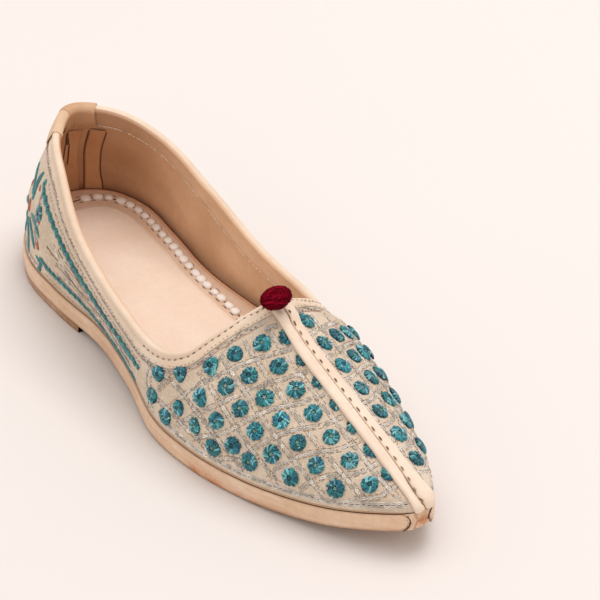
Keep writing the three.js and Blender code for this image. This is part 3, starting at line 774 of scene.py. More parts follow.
BINDING_NEAR = 0.1
BINDING_THICK = 0.65
BINDING_WIDTH = 5.7
GROOVE = 2.3
EDGE_STATIONS = 560
HEEL_SHARE = float(np.linalg.norm(EDGE_PATH.points - BASE[LAST, -1], axis=1).argmin())
HEEL_SHARE = EDGE_PATH.at[int(HEEL_SHARE)] / EDGE_PATH.length
whole = EdgeSweep(np.arange(EDGE_STATIONS) / EDGE_STATIONS)
rings = binding_rings(whole, 9.5, BINDING_NEAR, BINDING_THICK)
quads = grid(rings.shape[0], rings.shape[1], wrap_rows=True)
inside_leg = np.tile(np.arange(rings.shape[1] - 1) >= 18, rings.shape[0])
EDGE_SHARES = np.arange(EDGE_STATIONS) / EDGE_STATIONS
to_heel = 1 - smooth((np.abs(EDGE_SHARES - HEEL_SHARE) - 0.03) / 0.16)
# the binding's inside leg darkens towards the heel: painted shade of the heel's corner, partly the leather's own
# darkening with wear
painted_shade_and_patina = to_heel[:, None] * np.where(np.arange(rings.shape[1]) >= 18, 0.5, 0.0)
binding = make("collar_binding_fold", rings.reshape(-1, 3), quads, [BINDING, FACING], slots=inside_leg,
               values={"painted_shade_and_patina": painted_shade_and_patina.ravel()})
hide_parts("collar_binding")



def heel_tab(name, start, end, near, thick, outside, inside, material):
    shares = HEEL_SHARE + np.linspace(start, end, 60) / EDGE_PATH.length
    sweep = EdgeSweep(shares)
    rings = []

    def hug(depth, edge):
        """The tab steps down on the leather where it passes the binding's edge."""
        return lerp(near, near - 1.0, smooth((depth - edge) / 1.6))

    for d, t in [(outside, 0.02), (outside, 0.5), (outside - 0.2, 0.85), (outside - 0.8, 1.0),
                 (outside - 1.6, 1.0), (5.6, 1.0), (4.0, 1.0), (1.5, 1.0), (0.0, 1.0)]:
        rings.append(sweep.beside(d, hug(d, 5.4) + t * thick))
    for angle in np.linspace(0, np.pi, 11)[1:-1]:
        rings.append(sweep.crown(angle, near + thick, near + 0.75 * thick))
    for d, t in [(0.0, 1.0), (2.0, 1.0), (inside * 0.5, 1.0), (inside - 0.8, 1.0), (inside - 0.2, 0.8), (inside, 0.02)]:
        rings.append(sweep.beside(d, hug(d, 9.4) + t * thick, -1))
    rings = np.stack(rings, 1)
    # the two ends turn in towards the leather, so the piece shows its thickness
    ends = []
    for k, station in ((0, 1), (-1, -2)):
        inner = rings[k].copy()
        middle = sweep.point[k] - sweep.out[k] * RIM / 2
        inner = inner + unit(middle - inner) * thick * 0.95
        ends.append(inner)
    rings = np.concatenate([ends[0][None], rings, ends[1][None]])
    tab = make(name, rings.reshape(-1, 3), grid(rings.shape[0], rings.shape[1]), material)
    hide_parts("heel_tab")
    return tab


heel_tab("heel_tab_near", -20.5, -2.5, 1.15, 0.6, 9.0, 11.5, TAB_NEAR)
heel_tab("heel_tab_far", -4.5, 10.5, 1.45, 0.6, 8.2, 10.5, TAB)


# Straps along the ridge
STRAP_ASIDE = 0.8


def strap_aside(x):
    return STRAP_ASIDE + 1.9 * smooth((188 - x) / 24)


def strap_path(count):
    on_ridge = RIDGE_PATH(1 - np.linspace(0, 1, count))
    front = surface("outer", np.zeros(14), np.linspace(0.97, 0.12, 14))
    return np.concatenate([on_ridge, front])


def strap(name, node, sign, inner_edge, width, profile):
    path = strap_path(220)
    x = path[:, 0]
    on_front = np.clip((x - RIDGE_AT) / (LENGTH - RIDGE_AT), 0, 1)
    near = 0.25 + 1.35 * smooth((THROAT_AT + 12 - x) / 5)
    wide = np.minimum(width, lerp(width, TOE_WIDTH / 2, on_front))
    rings = []
    for across, lift in profile:
        aside = inner_edge + across * (wide - inner_edge)
        target = path + np.stack([0 * x, sign * aside + strap_aside(x), 0 * x], -1)
        place, out = seat(target)
        out[:, 1] = sign * np.maximum(0, sign * out[:, 1])
        out = unit(out)
        rings.append(place + out * (near + lift)[:, None])
    rings = np.stack(rings, 1)
    piece = make(name, rings.reshape(-1, 3), grid(rings.shape[0], rings.shape[1], wrap_columns=True)[:, ::sign], CREAM)
    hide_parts(node)
    return piece


ROLLED = [
    (0.0, 0.0), (0.0, 0.5), (0.02, 1.0), (0.07, 1.32), (0.16, 1.48), (0.26, 1.5), (0.33, 1.42), (0.42, 1.55), (0.6, 1.66),
    (0.78, 1.62), (0.9, 1.42), (0.97, 1.0), (1.0, 0.45), (1.0, 0.0),
]
SINGLE = [
    (0.0, 0.0), (0.0, 0.45), (0.03, 0.8), (0.1, 0.95), (0.2, 1.0), (0.3, 1.2), (0.5, 1.3), (0.75, 1.28), (0.92, 1.1),
    (0.985, 0.75), (1.0, 0.35), (1.0, 0.0),
]
strap("vamp_strap_rolled", "vamp_strap_outer", -1, 0.25, 4.7, ROLLED)
strap("vamp_strap_single", "vamp_strap_inner", 1, 0.25, 5.6, SINGLE)


# Flat pieces: grids whose rows cross the shoe from its outer to its inner side
def crossing(front, offset, height, rows=150, across=14, start=None):
    """Rows of points across the footprint, from a front length back to the heel, moved in by offset."""
    if front >= LENGTH:
        first = {"outer": 0.0, "inner": 0.0}
    else:
        s = np.linspace(0, 1, 3000)
        first = {side: s[np.argmax(FEATHER[side](s)[:, 0] < front)] for side in ("outer", "inner")}
    t = np.linspace(0, 1, rows)
    t = lerp(t, smooth(t), 0.8)
    ends = [foot(side, lerp(first[side], 1.0, t), offset)[0] for side in ("outer", "inner")]
    c = np.linspace(0, 1, across)[None, :, None]
    points = ends[0][:, None] * (1 - c) + ends[1][:, None] * c
    points[..., 2] = height(points[..., 0])
    return points


def stack(layers):
    """Loops for one mesh from crossing grids, each with the same rows, from bottom to top; they close round each row,
    and the mesh's two ends stay open.
    """
    rows, across = layers[0].shape[:2]
    loops = np.concatenate([layers[0][:, ::-1]] + [l[:, :1] for l in layers[1:-1]] + [layers[-1]]
                           + [l[:, -1:] for l in layers[1:-1][::-1]], axis=1)
    return loops


def closed_loops(name, loops, material, node, values=None):
    faces = grid(loops.shape[0], loops.shape[1], wrap_columns=True)
    ends = []
    for k in (0, loops.shape[0] - 1):
        count = loops.shape[1]
        for j in range(1, count // 2):
            quad = [k * count + j - 1, k * count + j, k * count + count - 1 - j, k * count + (count - j) % count]
            ends.append(quad if k == 0 else quad[::-1])
    piece = make(name, loops.reshape(-1, 3), faces, material, values=values)
    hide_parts(node)
    return piece


def sole_layer(offset, height):
    return crossing(LENGTH, offset, height, 220)


CORE_SIDE = 0.35
STRIP_SIDE = 1.15
sole_layers = [
    sole_layer(CORE_SIDE - 1.6, lambda x: underside(x)),
    sole_layer(CORE_SIDE - 0.75, lambda x: underside(x) + 0.1),
    sole_layer(CORE_SIDE - 0.2, lambda x: underside(x) + 0.5),
    sole_layer(CORE_SIDE, lambda x: underside(x) + 1.2),
    sole_layer(CORE_SIDE, lambda x: sole_top(x) - 1.2),
    sole_layer(CORE_SIDE - 0.1, lambda x: sole_top(x) - 0.4),
    sole_layer(CORE_SIDE - 0.5, lambda x: sole_top(x)),
]
loops = stack(sole_layers)
closed_loops("outsole_layers", loops, TAN, "outsole", {"wear_and_painted_shade": np.full(loops.shape[0] * loops.shape[1], 0.6)})

# The strip round the sole's side, with a rounded end on each side of the toe
STRIP_ENDS = {"outer": 0.0185, "inner": 0.011}
SCUFFS = [(0.315, 0.25, 0.018, 0.3, 1.0), (0.345, 0.2, 0.012, 0.25, 0.8), (0.26, 0.12, 0.05, 0.15, 0.6),
          (0.62, 0.3, 0.03, 0.3, 0.35), (0.9, 0.35, 0.05, 0.3, 0.5), (1.25, 0.3, 0.04, 0.3, 0.5), (1.6, 0.25, 0.05, 0.2, 0.6)]


def edge_strip():
    turns = np.concatenate([
        STRIP_ENDS["outer"] + 0.05 * (1 - np.cos(np.linspace(0, np.pi / 2, 50)))[:-1],
        np.linspace(STRIP_ENDS["outer"] + 0.05, 2 - STRIP_ENDS["inner"] - 0.05, 620),
        2 - STRIP_ENDS["inner"] - 0.05 * (1 - np.cos(np.linspace(np.pi / 2, 0, 50)))[1:],
    ])
    side_share = np.where(turns <= 1, turns, 2 - turns)
    places = {side: foot(side, side_share, 0.0) for side in ("outer", "inner")}
    pick_outer = (turns <= 1)[:, None]
    point = np.where(pick_outer, places["outer"][0], places["inner"][0])
    out = np.where(pick_outer, places["outer"][1], places["inner"][1])
    steps = np.linalg.norm(np.diff(point, axis=0), axis=1)
    at = np.concatenate([[0], np.cumsum(steps)])
    to_end = np.minimum(at, at[-1] - at)
    radius = SOLE_THICKNESS / 2
    rounding = np.sqrt(np.clip(1 - (1 - np.minimum(1, to_end / radius)) ** 2, 0, 1))
    profile = [(0.0, 0.03), (0.45, 0.0), (0.85, 0.03), (1.05, 0.1), (1.15, 0.22), (1.17, 0.5), (1.15, 0.76),
               (1.1, 0.9), (0.95, 0.97), (0.65, 1.0), (0.1, 1.0)]
    rings, heights = [], []
    wave = 0.07 * np.sin(at * 0.11) + 0.05 * np.sin(at * 0.31 + 1)
    for offset, level in profile:
        ring = point + out * (offset * (0.45 + 0.55 * rounding) + (wave if offset > 1 else 0))[:, None]
        middle = underside(ring[:, 0]) + 0.12 + (SOLE_THICKNESS - 0.2) * (0.5 + (level - 0.5) * rounding)
        ring[:, 2] = middle
        rings.append(ring)
        heights.append(np.full(len(turns), level))
    rings, heights = np.stack(rings, 1), np.stack(heights, 1)
    stain = np.zeros(heights.shape)
    for turn, level, long, tall, strength in SCUFFS:
        stain += strength * np.exp(-(((turns[:, None] - turn) / long) ** 2) - ((heights - level) / tall) ** 2)
    # darker along the lower edge; painted shade in the thin gap along the top edge and round the strip's rounded ends
    wear_and_painted_shade = 0.85 * (1 - smooth(heights / 0.22)) + 0.25 * (1 - smooth((1 - heights) / 0.06))
    wear_and_painted_shade = np.maximum(wear_and_painted_shade, 0.8 * (1 - smooth(to_end / 1.2))[:, None])
    piece = make(
        "sole_edge_band", rings.reshape(-1, 3), grid(rings.shape[0], rings.shape[1], wrap_columns=True)[:, ::-1], TAN,
        values={"stain": stain.ravel(), "wear_and_painted_shade": wear_and_painted_shade.ravel()},
    )
    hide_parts("sole_edge_strip")


edge_strip()


def toe_stub():
    """The sole's bare tip between the strip's ends: rough leather drawn together with coarse stitches."""
    columns, rows = 90, 34
    turns = np.linspace(-STRIP_ENDS["inner"] - 0.01, STRIP_ENDS["outer"] + 0.01, columns)
    sides = np.where(turns >= 0, "outer", "inner")
    frames = [foot(name, np.array([abs(t)]), 0.0) for t, name in zip(turns, sides)]
    point = np.array([f[0][0] for f in frames])
    out = np.array([f[1][0] for f in frames])
    u, level = np.meshgrid(np.linspace(-1, 1, columns), np.linspace(0.04, 1.0, rows), indexing="ij")
    offset = 0.75 + 0.16 * np.sin(u * 13 + level * 9) + 0.12 * np.sin(u * 23 - level * 17) + 0.1 * np.sin(level * 31 + u * 5)
    offset -= 1.1 * np.exp(-(((u - 0.22 - 0.06 * np.sin(level * 9)) / 0.05) ** 2))
    offset -= 0.5 * np.exp(-(((u + 0.3 + 0.1 * level) / 0.06) ** 2))
    offset -= 0.45 * np.exp(-(((level - 0.5 - 0.15 * u) / 0.05) ** 2)) * (u < 0.15)
    offset *= np.clip(np.sin(np.pi * np.clip(0.1 + 0.82 * level, 0, 1)), 0, 1) ** 0.6
    offset = lerp(offset, 0.1, smooth((np.abs(u) - 0.72) / 0.14))
    points = point[:, None] + out[:, None] * (0.1 + offset)[..., None]
    points[..., 2] = underside(points[..., 0]) + SOLE_THICKNESS * level
    ochre = np.exp(-(((u + 0.15) / 0.35) ** 2) - ((level - 0.45) / 0.3) ** 2)
    # painted shade: the stub darkens where its surface sinks into its grooves and at its edges under the strip
    piece = make(
        "toe_stub", points.reshape(-1, 3), grid(columns, rows)[:, ::-1], STUB,
        values={"stain": ochre.ravel(), "wear_and_painted_shade": np.clip(0.9 - 2.2 * offset, 0, 1).ravel()},
    )


toe_stub()
lift_layers = [
    crossing(HEEL_LENGTH - 0.6, 0.1, lambda x: 0 * x, 90),
    crossing(HEEL_LENGTH - 0.6, 0.6, lambda x: 0 * x + 0.3, 90),
    crossing(HEEL_LENGTH - 0.6, 0.65, lambda x: 0 * x + HEEL_LIFT - 0.5, 90),
    crossing(HEEL_LENGTH - 0.6, 0.3, lambda x: 0 * x + HEEL_LIFT - 0.15, 90),
]
loops = stack(lift_layers)
# the heel lift is darkened all over: painted shade, as it lies in shadow under the heel
closed_loops("heel_lift_layer", loops, TAN, "heel_lift", {"wear_and_painted_shade": np.full(loops.shape[0] * loops.shape[1], 0.9)})

PAD_INSET = {
    "inner": [(0.40, 19.0), (0.55, 16.5), (0.60, 14.2), (0.66, 12.6), (0.72, 12.2), (0.80, 12.8), (0.88, 13.5), (0.94, 15.5), (1.0, 17.0)],
    "outer": [(0.40, 10.0), (0.72, 8.0), (0.84, 9.5), (0.92, 13.0), (1.0, 17.0)],
}
BEAD_INSET = {
    "inner": [(0.40, 15.5), (0.55, 12.8), (0.60, 10.4), (0.66, 8.7), (0.72, 8.1), (0.82, 8.2), (0.88, 7.9), (0.94, 9.0), (1.0, 10.8)],
    "outer": [(0.40, 5.0), (0.72, 4.4), (0.84, 5.5), (0.92, 8.0), (1.0, 10.8)],
}


def inset_foot(side, share, table, more=0.0):
    knots = np.array(table[side])
    inset = np.interp(share, knots[:, 0], knots[:, 1]) + more
    point, out = foot(side, share)
    return point - out * inset[:, None], out


def insole_top(x, y):
    return sole_top(x) + INSOLE_THICKNESS + 0 * y


insole_layers = [
    crossing(238, -2.6, lambda x: sole_top(x) + 0.3, 180),
    crossing(238, -2.6, lambda x: sole_top(x) + INSOLE_THICKNESS - 0.6, 180),
    crossing(238, -3.1, lambda x: sole_top(x) + INSOLE_THICKNESS, 180),
]
closed_loops("insole_border", stack(insole_layers), BORDER, "insole")


def soft_pad():
    """The pad's cover: pressed down along a line near its edge, and softly crowned inside it."""
    share = lerp(0.36, 1.0, crowded(np.linspace(0, 1, 170)))
    ends = [inset_foot(side, share, PAD_INSET)[0] for side in ("outer", "inner")]
    c = (1 - np.cos(np.linspace(0, np.pi, 60))) / 2
    flat = ends[0][:, None] * (1 - c[None, :, None]) + ends[1][:, None] * c[None, :, None]
    border = np.concatenate([ends[0], ends[1][::-1]])
    border_tree = tree_of(border)
    inward = np.array([border_tree.find(p)[2] for p in flat.reshape(-1, 3)]).reshape(flat.shape[:2])
    front = np.linalg.norm(flat - flat[:1], axis=2)
    inward = np.minimum(inward, np.maximum(front, 0))
    rise = 0.1 + 0.6 * smooth(inward / 1.4) - 0.1 * np.exp(-(((inward - 2.6) / 0.8) ** 2)) + 0.5 * smooth((inward - 2) / 12)
    x, y = flat[..., 0], flat[..., 1]
    dents = 0.22 * np.sin(x * 0.09 + 1) * np.sin(y * 0.13 + 0.5) * smooth(inward / 10)
    dents -= 0.55 * np.exp(-(((x - 38) / 16) ** 2) - ((y + 4) / 11) ** 2)
    dents -= 0.5 * np.exp(-(((x - 138) / 20) ** 2) - ((y + 8) / 16) ** 2)
    flat[..., 2] = sole_top(x) + INSOLE_THICKNESS + rise + dents
    low = flat.copy()
    low[..., 2] = sole_top(x) + INSOLE_THICKNESS - 0.5
    loops = np.concatenate([low[:, ::-1], flat], axis=1)
    piece = closed_loops("insole_pad_cover", loops, PAD, "insole_pad")


soft_pad()


def bead_stitches():
    """White thong stitches along the border: rounded lumps, sunk by half; the dark thread between them, partly painted
    shade round their sunk edges, is laid with the insole's cord.
    """
    points, faces, count = [], [], 0
    for side in ("outer", "inner"):
        share = np.linspace(0.43, 1.0, 700)
        line, out = inset_foot(side, share, BEAD_INSET)
        steps = np.linalg.norm(np.diff(line, axis=0), axis=1)
        at = np.concatenate([[0], np.cumsum(steps)])
        places = np.arange(2.2, at[-1] - 1.2, 5.0)
        places = places + 0.25 * rng.normal(size=len(places))
        polar, turn = np.meshgrid(np.linspace(0, np.pi, 9), np.arange(14) * 2 * np.pi / 14, indexing="ij")
        ball = np.stack([np.cos(polar), np.sin(polar) * np.cos(turn), np.sin(polar) * np.sin(turn)], -1)
        ball = np.sign(ball) * np.abs(ball) ** 0.85
        for k, place in enumerate(places):
            p = np.array([np.interp(place, at, line[:, i]) for i in range(3)])
            q = np.array([np.interp(place + 0.5, at, line[:, i]) for i in range(3)])
            along = unit(q - p)
            across = np.array([-along[1], along[0], 0])
            small = 0.86 if k % 4 == 2 else 1.0
            size = np.array([2.25, 1.85, 1.15]) * small * (1 + 0.07 * rng.normal(size=3))
            p[2] = sole_top(p[0]) + INSOLE_THICKNESS + 0.3
            lump = ball * size
            points.append((p + lump[..., :1] * along + lump[..., 1:2] * across + lump[..., 2:] * [0, 0, 1]).reshape(-1, 3))
            faces.append(grid(9, 14, wrap_columns=True) + count)
            count += 9 * 14
    piece = make("insole_bead_stitches", np.concatenate(points), np.concatenate(faces), BEAD)


bead_stitches()


# Pompom: a wound ball of wool
POMPOM = np.array([9.4, 13.6, 8.8]) / 2
throat_seat, throat_out = seat(np.array([[THROAT_AT + 3.2, throat[1], INSTEP_HEIGHT]]))
POMPOM_CENTRE = throat_seat[0] + throat_out[0] * (BINDING_NEAR + 1.1 + 2.4 + POMPOM[2]) + np.array([0, -1.6, 0])


def pompom():
    rows, columns = 60, 120
    polar, turn = np.meshgrid(np.linspace(0, np.pi, rows), np.arange(columns) * 2 * np.pi / columns, indexing="ij")
    ball = np.stack([np.sin(polar) * np.cos(turn), -np.cos(polar), np.sin(polar) * np.sin(turn)], -1)
    strand = 0.22 * np.cos(9 * turn + 4 * polar) * np.sin(polar) - 0.75
    points = POMPOM_CENTRE + ball * (POMPOM + strand[..., None])
    piece = make("pompom_core", points.reshape(-1, 3), grid(rows, columns, wrap_columns=True), WOOL)
    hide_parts("pompom")


pompom()


# Threads: open half-round strips laid on the leather, gathered into one mesh per kind
class Threads:
    def __init__(self):
        self.points = []
        self.faces = []
        self.tints = []
        self.count = 0

    def add_grid(self, points, tint, wrap=False):
        rows, columns = points.shape[:2]
        self.points.append(points.reshape(-1, 3))
        self.faces.append(grid(rows, columns, wrap_columns=wrap) + self.count)
        self.tints.append(np.broadcast_to(np.asarray(tint, float)[..., :3], (rows * columns, 3)))
        self.count += rows * columns

    def add(self, paths, normals, wide, high, tints, ends=0.35):
        """Many threads at once: paths and normals are (threads, points, 3), and tints (threads, 3)."""
        threads, count = paths.shape[:2]
        if threads == 0:
            return
        along = unit(np.gradient(paths, axis=1))
        across = unit(np.cross(normals, along))
        t = np.linspace(-1, 1, count)
        shape = (ends + (1 - ends) * np.sqrt(np.clip(1 - t**4, 0, 1)))[None, :, None, None]
        angles = np.radians([-25, 40, 90, 140, 205])
        wide, high = (np.reshape(np.broadcast_to(v, threads), (-1, 1, 1, 1)) for v in (wide, high))
        sideways = across[:, :, None] * np.cos(angles)[:, None] * wide * shape
        upward = normals[:, :, None] * np.sin(angles)[:, None] * high * shape
        points = paths[:, :, None] + sideways + upward
        one = grid(count, len(angles))
        faces = one[None] + (np.arange(threads) * count * len(angles))[:, None, None] + self.count
        self.points.append(points.reshape(-1, 3))
        self.faces.append(faces.reshape(-1, 4))
        tints = np.asarray(tints, float)[..., :3]
        tints = np.broadcast_to(tints, (threads, 3))
        self.tints.append(np.repeat(tints, count * len(angles), axis=0))
        self.count += len(self.points[-1])

    def make(self, name, material, node="upper", slot="embroidered_leather"):
        piece = make(
            name, np.concatenate(self.points), np.concatenate(self.faces), material,
            values={"tint": np.concatenate(self.tints)},
        )
        return piece


def thread_material(name, roughness, sheen, shine=0.45):
    s = Shader(name, Sheen_Weight=sheen, Specular_IOR_Level=shine)
    fine = s.noise(2600, 2, 0.6)
    shade = s.mix(s.span(fine, 0.3, 0.7), rgb(214, 214, 214), rgb(255, 255, 255))
    colour = s.mix(1.0, s.tint("tint"), shade, "MULTIPLY")
    return s.finish(colour, roughness, s.bump(fine, 0.6, 0.0002))


SILK = thread_material("silk_thread", 0.34, 0.15)
WOOL_THREAD = thread_material("wool_strand", 0.95, 0.0, 0.08)
METAL_THREAD = thread_material("silver_thread", 0.4, 0.0, 0.35)
# the teal palette: its palest tint is a painted highlight and its darkest a painted shade, among real changes of tone
TEAL_WITH_PAINTED_LIGHT = np.array([rgb(30, 136, 148), rgb(10, 102, 116), rgb(52, 156, 160), rgb(26, 122, 122), rgb(36, 120, 148), rgb(130, 200, 206), rgb(10, 86, 100)])
GREEN = np.array([rgb(38, 142, 138), rgb(24, 118, 122), rgb(66, 162, 156), rgb(44, 124, 148)])
BROWN = np.array([rgb(150, 122, 96), rgb(132, 104, 80), rgb(168, 140, 112)])
SILVER = np.array([rgb(242, 238, 230), rgb(250, 247, 241), rgb(226, 222, 213), rgb(196, 194, 188)])
EARTH = np.array([rgb(176, 158, 138), rgb(190, 172, 152), rgb(156, 142, 124), rgb(200, 176, 162), rgb(168, 166, 150)])
# dark thread, partly painted shade in the gaps of the chain stitches
DARK_THREAD_AND_SHADE = np.array([rgb(112, 96, 80), rgb(128, 110, 90), rgb(88, 84, 78)])
CORAL = np.array([rgb(212, 108, 74), rgb(198, 92, 78), rgb(224, 132, 84)])
BLUSH = np.array([rgb(216, 180, 170), rgb(226, 196, 178), rgb(204, 190, 176)])


def pick(palette, count, spread=0.12):
    chosen = palette[rng.integers(0, len(palette), count)][:, :3]
    return chosen * (1 + spread * rng.normal(size=(count, 1))).clip(0.6, 1.4)


# The wall's own coordinates: length from the heel, and girth from the ridge
def side_table(table, side):
    columns = np.arange(LAST + 1)
    return table[columns if side == "outer" else (COLUMNS - columns) % COLUMNS]


TABLES = {}
for side in ("outer", "inner"):
    x_table = side_table(BASE, side)[..., 0]
    w_table = side_table(FROM_RIDGE, side)
    near = tree_of(np.stack([x_table[::3, ::3], w_table[::3, ::3], 0 * x_table[::3, ::3]], -1).reshape(-1, 3))
    TABLES[side] = (x_table, w_table, side_table(CLIMB, side), near, x_table[::3, ::3].shape[1])


def bilinear(table, c, r):
    i = np.clip(c.astype(int), 0, table.shape[0] - 2)
    j = np.clip(r.astype(int), 0, table.shape[1] - 2)
    a, b = c - i, r - j
    low = table[i, j] * (1 - b) + table[i, j + 1] * b
    high = table[i + 1, j] * (1 - b) + table[i + 1, j + 1] * b
    ca = table[i + 1, j] * (1 - b) + table[i + 1, j + 1] * b - low
    cb = (table[i, j + 1] - table[i, j]) * (1 - a) + (table[i + 1, j + 1] - table[i + 1, j]) * a
    return low * (1 - a) + high * a, ca, cb


def find(side, x, w):
    """Column and row, as fractions, of points given by length from the heel and girth from the ridge."""
    x_table, w_table, _, near, width = TABLES[side]
    x, w = np.broadcast_arrays(np.asarray(x, float), np.asarray(w, float))
    first = np.array([near.find((a, b, 0.0))[1] for a, b in zip(x.ravel(), w.ravel())]).reshape(x.shape)
    c, r = (first // width) * 3.0, (first % width) * 3.0
    for _ in range(5):
        fx, xc, xr = bilinear(x_table, c, r)
        fw, wc, wr = bilinear(w_table, c, r)
        det = xc * wr - xr * wc
        det = np.where(np.abs(det) < 1e-6, 1e-6, det)
        dc = ((x - fx) * wr - (w - fw) * xr) / det
        dr = ((w - fw) * xc - (x - fx) * wc) / det
        c = np.clip(c + np.clip(dc, -4, 4), 0, LAST - 0.001)
        r = np.clip(r + np.clip(dr, -4, 4), 0, WALL_ROWS - 0.001)
    return c, r


def wall_at(side, c, r, lift=0.0):
    """Points and normals at fractional columns and rows of one side."""
    shape = np.shape(c)
    c, r = np.ravel(c), np.ravel(r)
    i, j = np.minimum(c.astype(int), LAST - 1), np.minimum(r.astype(int), WALL_ROWS - 1)
    a, b = (c - i)[:, None], (r - j)[:, None]

    def column(k):
        return k if side == "outer" else (COLUMNS - k) % COLUMNS

    def read(table):
        near = table[column(i), j] * (1 - b) + table[column(i), j + 1] * b
        far = table[column(i + 1), j] * (1 - b) + table[column(i + 1), j + 1] * b
        return near * (1 - a) + far * a

    normal = unit(read(WALL_NORMALS))
    points = read(WALL_POINTS) + normal * np.ravel(np.broadcast_to(lift, shape))[:, None]
    return points.reshape(*shape, 3), normal.reshape(*shape, 3)


def at_share(side, share, climb):
    """Column and row at a share round the side and a climb in mm from the sole."""
    share, climb = np.broadcast_arrays(np.asarray(share, float), np.asarray(climb, float))
    c = np.interp(share, SHARES, np.arange(LAST + 1.0))
    table = TABLES[side][2]
    i = np.clip(c.astype(int), 0, LAST - 1)
    rows = np.arange(WALL_ROWS + 1.0)
    r = np.array([np.interp(g, table[k], rows) for g, k in zip(climb.ravel(), i.ravel())]).reshape(climb.shape)
    return c, np.clip(r, 0, WALL_ROWS - 0.001)


def around(side, c, r, forward, down):
    """Columns and rows of points that lie forward and down the wall, in mm, from given ones."""
    c, r, forward, down = np.broadcast_arrays(c, r, forward, down)
    step = 0.5
    for _ in range(1):
        here, normal = wall_at(side, c, r)
        along_c = (wall_at(side, np.clip(c + step, 0, LAST - 0.001), r)[0] - here) / step
        lower = np.where(r > 1, -step, step)
        along_r = (wall_at(side, c, r + lower)[0] - here) / lower[..., None]
    ahead = np.zeros(here.shape)
    ahead[..., 0] = 1
    ahead = unit(ahead - normal * (ahead * normal).sum(-1, keepdims=True))
    under = np.cross(normal, ahead)
    under = np.where(under[..., 2:] > 0, -under, under)
    move = ahead * forward[..., None] + under * down[..., None]
    cc, cr, rr = ((a * b).sum(-1) for a, b in ((along_c, along_c), (along_c, along_r), (along_r, along_r)))
    mc, mr = (move * along_c).sum(-1), (move * along_r).sum(-1)
    det = cc * rr - cr**2
    return (
        np.clip(c + (mc * rr - mr * cr) / det, 0, LAST - 0.001),
        np.clip(r + (mr * cc - mc * cr) / det, 0, WALL_ROWS - 0.001),
    )


class Line:
    """A line on the wall, read by its length in mm."""

    def __init__(self, points, normals):
        self.points = points
        self.normals = normals
        steps = np.linalg.norm(np.diff(points, axis=0), axis=1)
        self.at = np.concatenate([[0], np.cumsum(steps)])
        self.length = self.at[-1]

    def read(self, s):
        shape = np.shape(s)
        flat = np.ravel(s)
        p = np.stack([np.interp(flat, self.at, self.points[:, k]) for k in range(3)], -1)
        n = unit(np.stack([np.interp(flat, self.at, self.normals[:, k]) for k in range(3)], -1))
        ahead = np.stack([np.interp(np.minimum(flat + 0.4, self.length), self.at, self.points[:, k]) for k in range(3)], -1)
        behind = np.stack([np.interp(np.maximum(flat - 0.4, 0), self.at, self.points[:, k]) for k in range(3)], -1)
        across = unit(np.cross(n, unit(ahead - behind)))
        return p.reshape(*shape, 3), n.reshape(*shape, 3), across.reshape(*shape, 3)


def line_between(side, shares, climbs, count=300):
    """A smooth line through points given by share round the side and climb from the sole."""
    knots = np.stack([shares, climbs, 0 * np.asarray(climbs)], -1) * [400, 1, 0]
    path = Path(through(knots))
    p = path(np.linspace(0, 1, count))
    return Line(*wall_at(side, *at_share(side, p[:, 0] / 400, p[:, 1])))


def edge_line(depth, start, end, count=400):
    """A line at a depth under the edge of the opening, between two shares of the edge's length."""
    sweep = EdgeSweep(np.linspace(start, end, count))
    depth = depth + band_depths(sweep)[0][:, None]
    return Line(*seat(sweep.point + sweep.down * depth))


def chain(threads, line, aside=0.0, pitch=2.2, half=0.42, wide=0.16, high=0.2, palette=SILVER, keep=1.0):
    """Chain stitches: each link is two short bowed threads."""
    count = int(line.length / pitch)
    if count < 2:
        return
    start = np.arange(count) * pitch
    start = start[rng.random(count) < keep]
    t = np.linspace(0, 1, 5)
    s = start[:, None] + t * pitch * 1.12
    p, n, across = line.read(s)
    tint = pick(palette, len(start))
    sway = aside + 0.08 * rng.normal(size=(len(start), 1))
    for sign in (-1, 1):
        bow = sway + sign * half * np.sin(np.pi * t)[None, :] ** 0.8
        lift = 0.06 + 0.12 * t[None, :]
        path = p + across * bow[..., None] + n * lift[..., None]
        threads.add(path, n, wide, high, tint)


def running(threads, line, aside=0.0, pitch=2.4, length=1.4, wide=0.2, high=0.16, palette=DARK_THREAD_AND_SHADE, lift=0.04, skip=0.0, start=0.0):
    """Running stitches: short straight threads with gaps between them."""
    count = int((line.length - start) / pitch)
    if count < 1:
        return
    s0 = start + (np.arange(count) + 0.5 * (1 - length / pitch)) * pitch
    s0 = s0[rng.random(count) >= skip]
    t = np.linspace(0, 1, 4)
    jitter = 1 + 0.12 * rng.normal(size=(len(s0), 1))
    s = s0[:, None] + t * length * jitter
    p, n, across = line.read(s)
    sway = aside + 0.06 * rng.normal(size=(len(s0), 1))
    hump = lift + 0.1 * np.sin(np.pi * t)
    threads.add(p + across * sway[..., None] + n * hump[:, None], n, wide, high, pick(palette, len(s0)))


def satin(threads, line, half, pitch=0.5, slant=0.7, palette=GREEN, zigzag=0.0, period=4.5, high=0.3, dome=0.35):
    """A band of close threads laid across a line, with saw-toothed edges where zigzag is given."""
    count = int(line.length / pitch)
    s = (np.arange(count) + 0.5) * pitch
    u = s / line.length
    wide = np.interp(u, np.linspace(0, 1, len(half)), half) if np.ndim(half) else np.full(count, half)
    shift = zigzag * (4 * np.abs((s / period) % 1.0 - 0.5) - 1)
    t = np.linspace(-1, 1, 5)
    run = s[:, None] + slant * t * wide[:, None]
    p, n, across = line.read(np.clip(run, 0, line.length))
    offset = shift[:, None] + t * wide[:, None] * (1 + 0.08 * rng.normal(size=(count, 1)))
    lift = dome * (1 - t**2) * np.minimum(1, wide[:, None]) + 0.04
    path = p + across * offset[..., None] + n * lift[..., None]
    threads.add(path, n, pitch * 0.62, high * 0.8, pick(palette, count), ends=0.6)


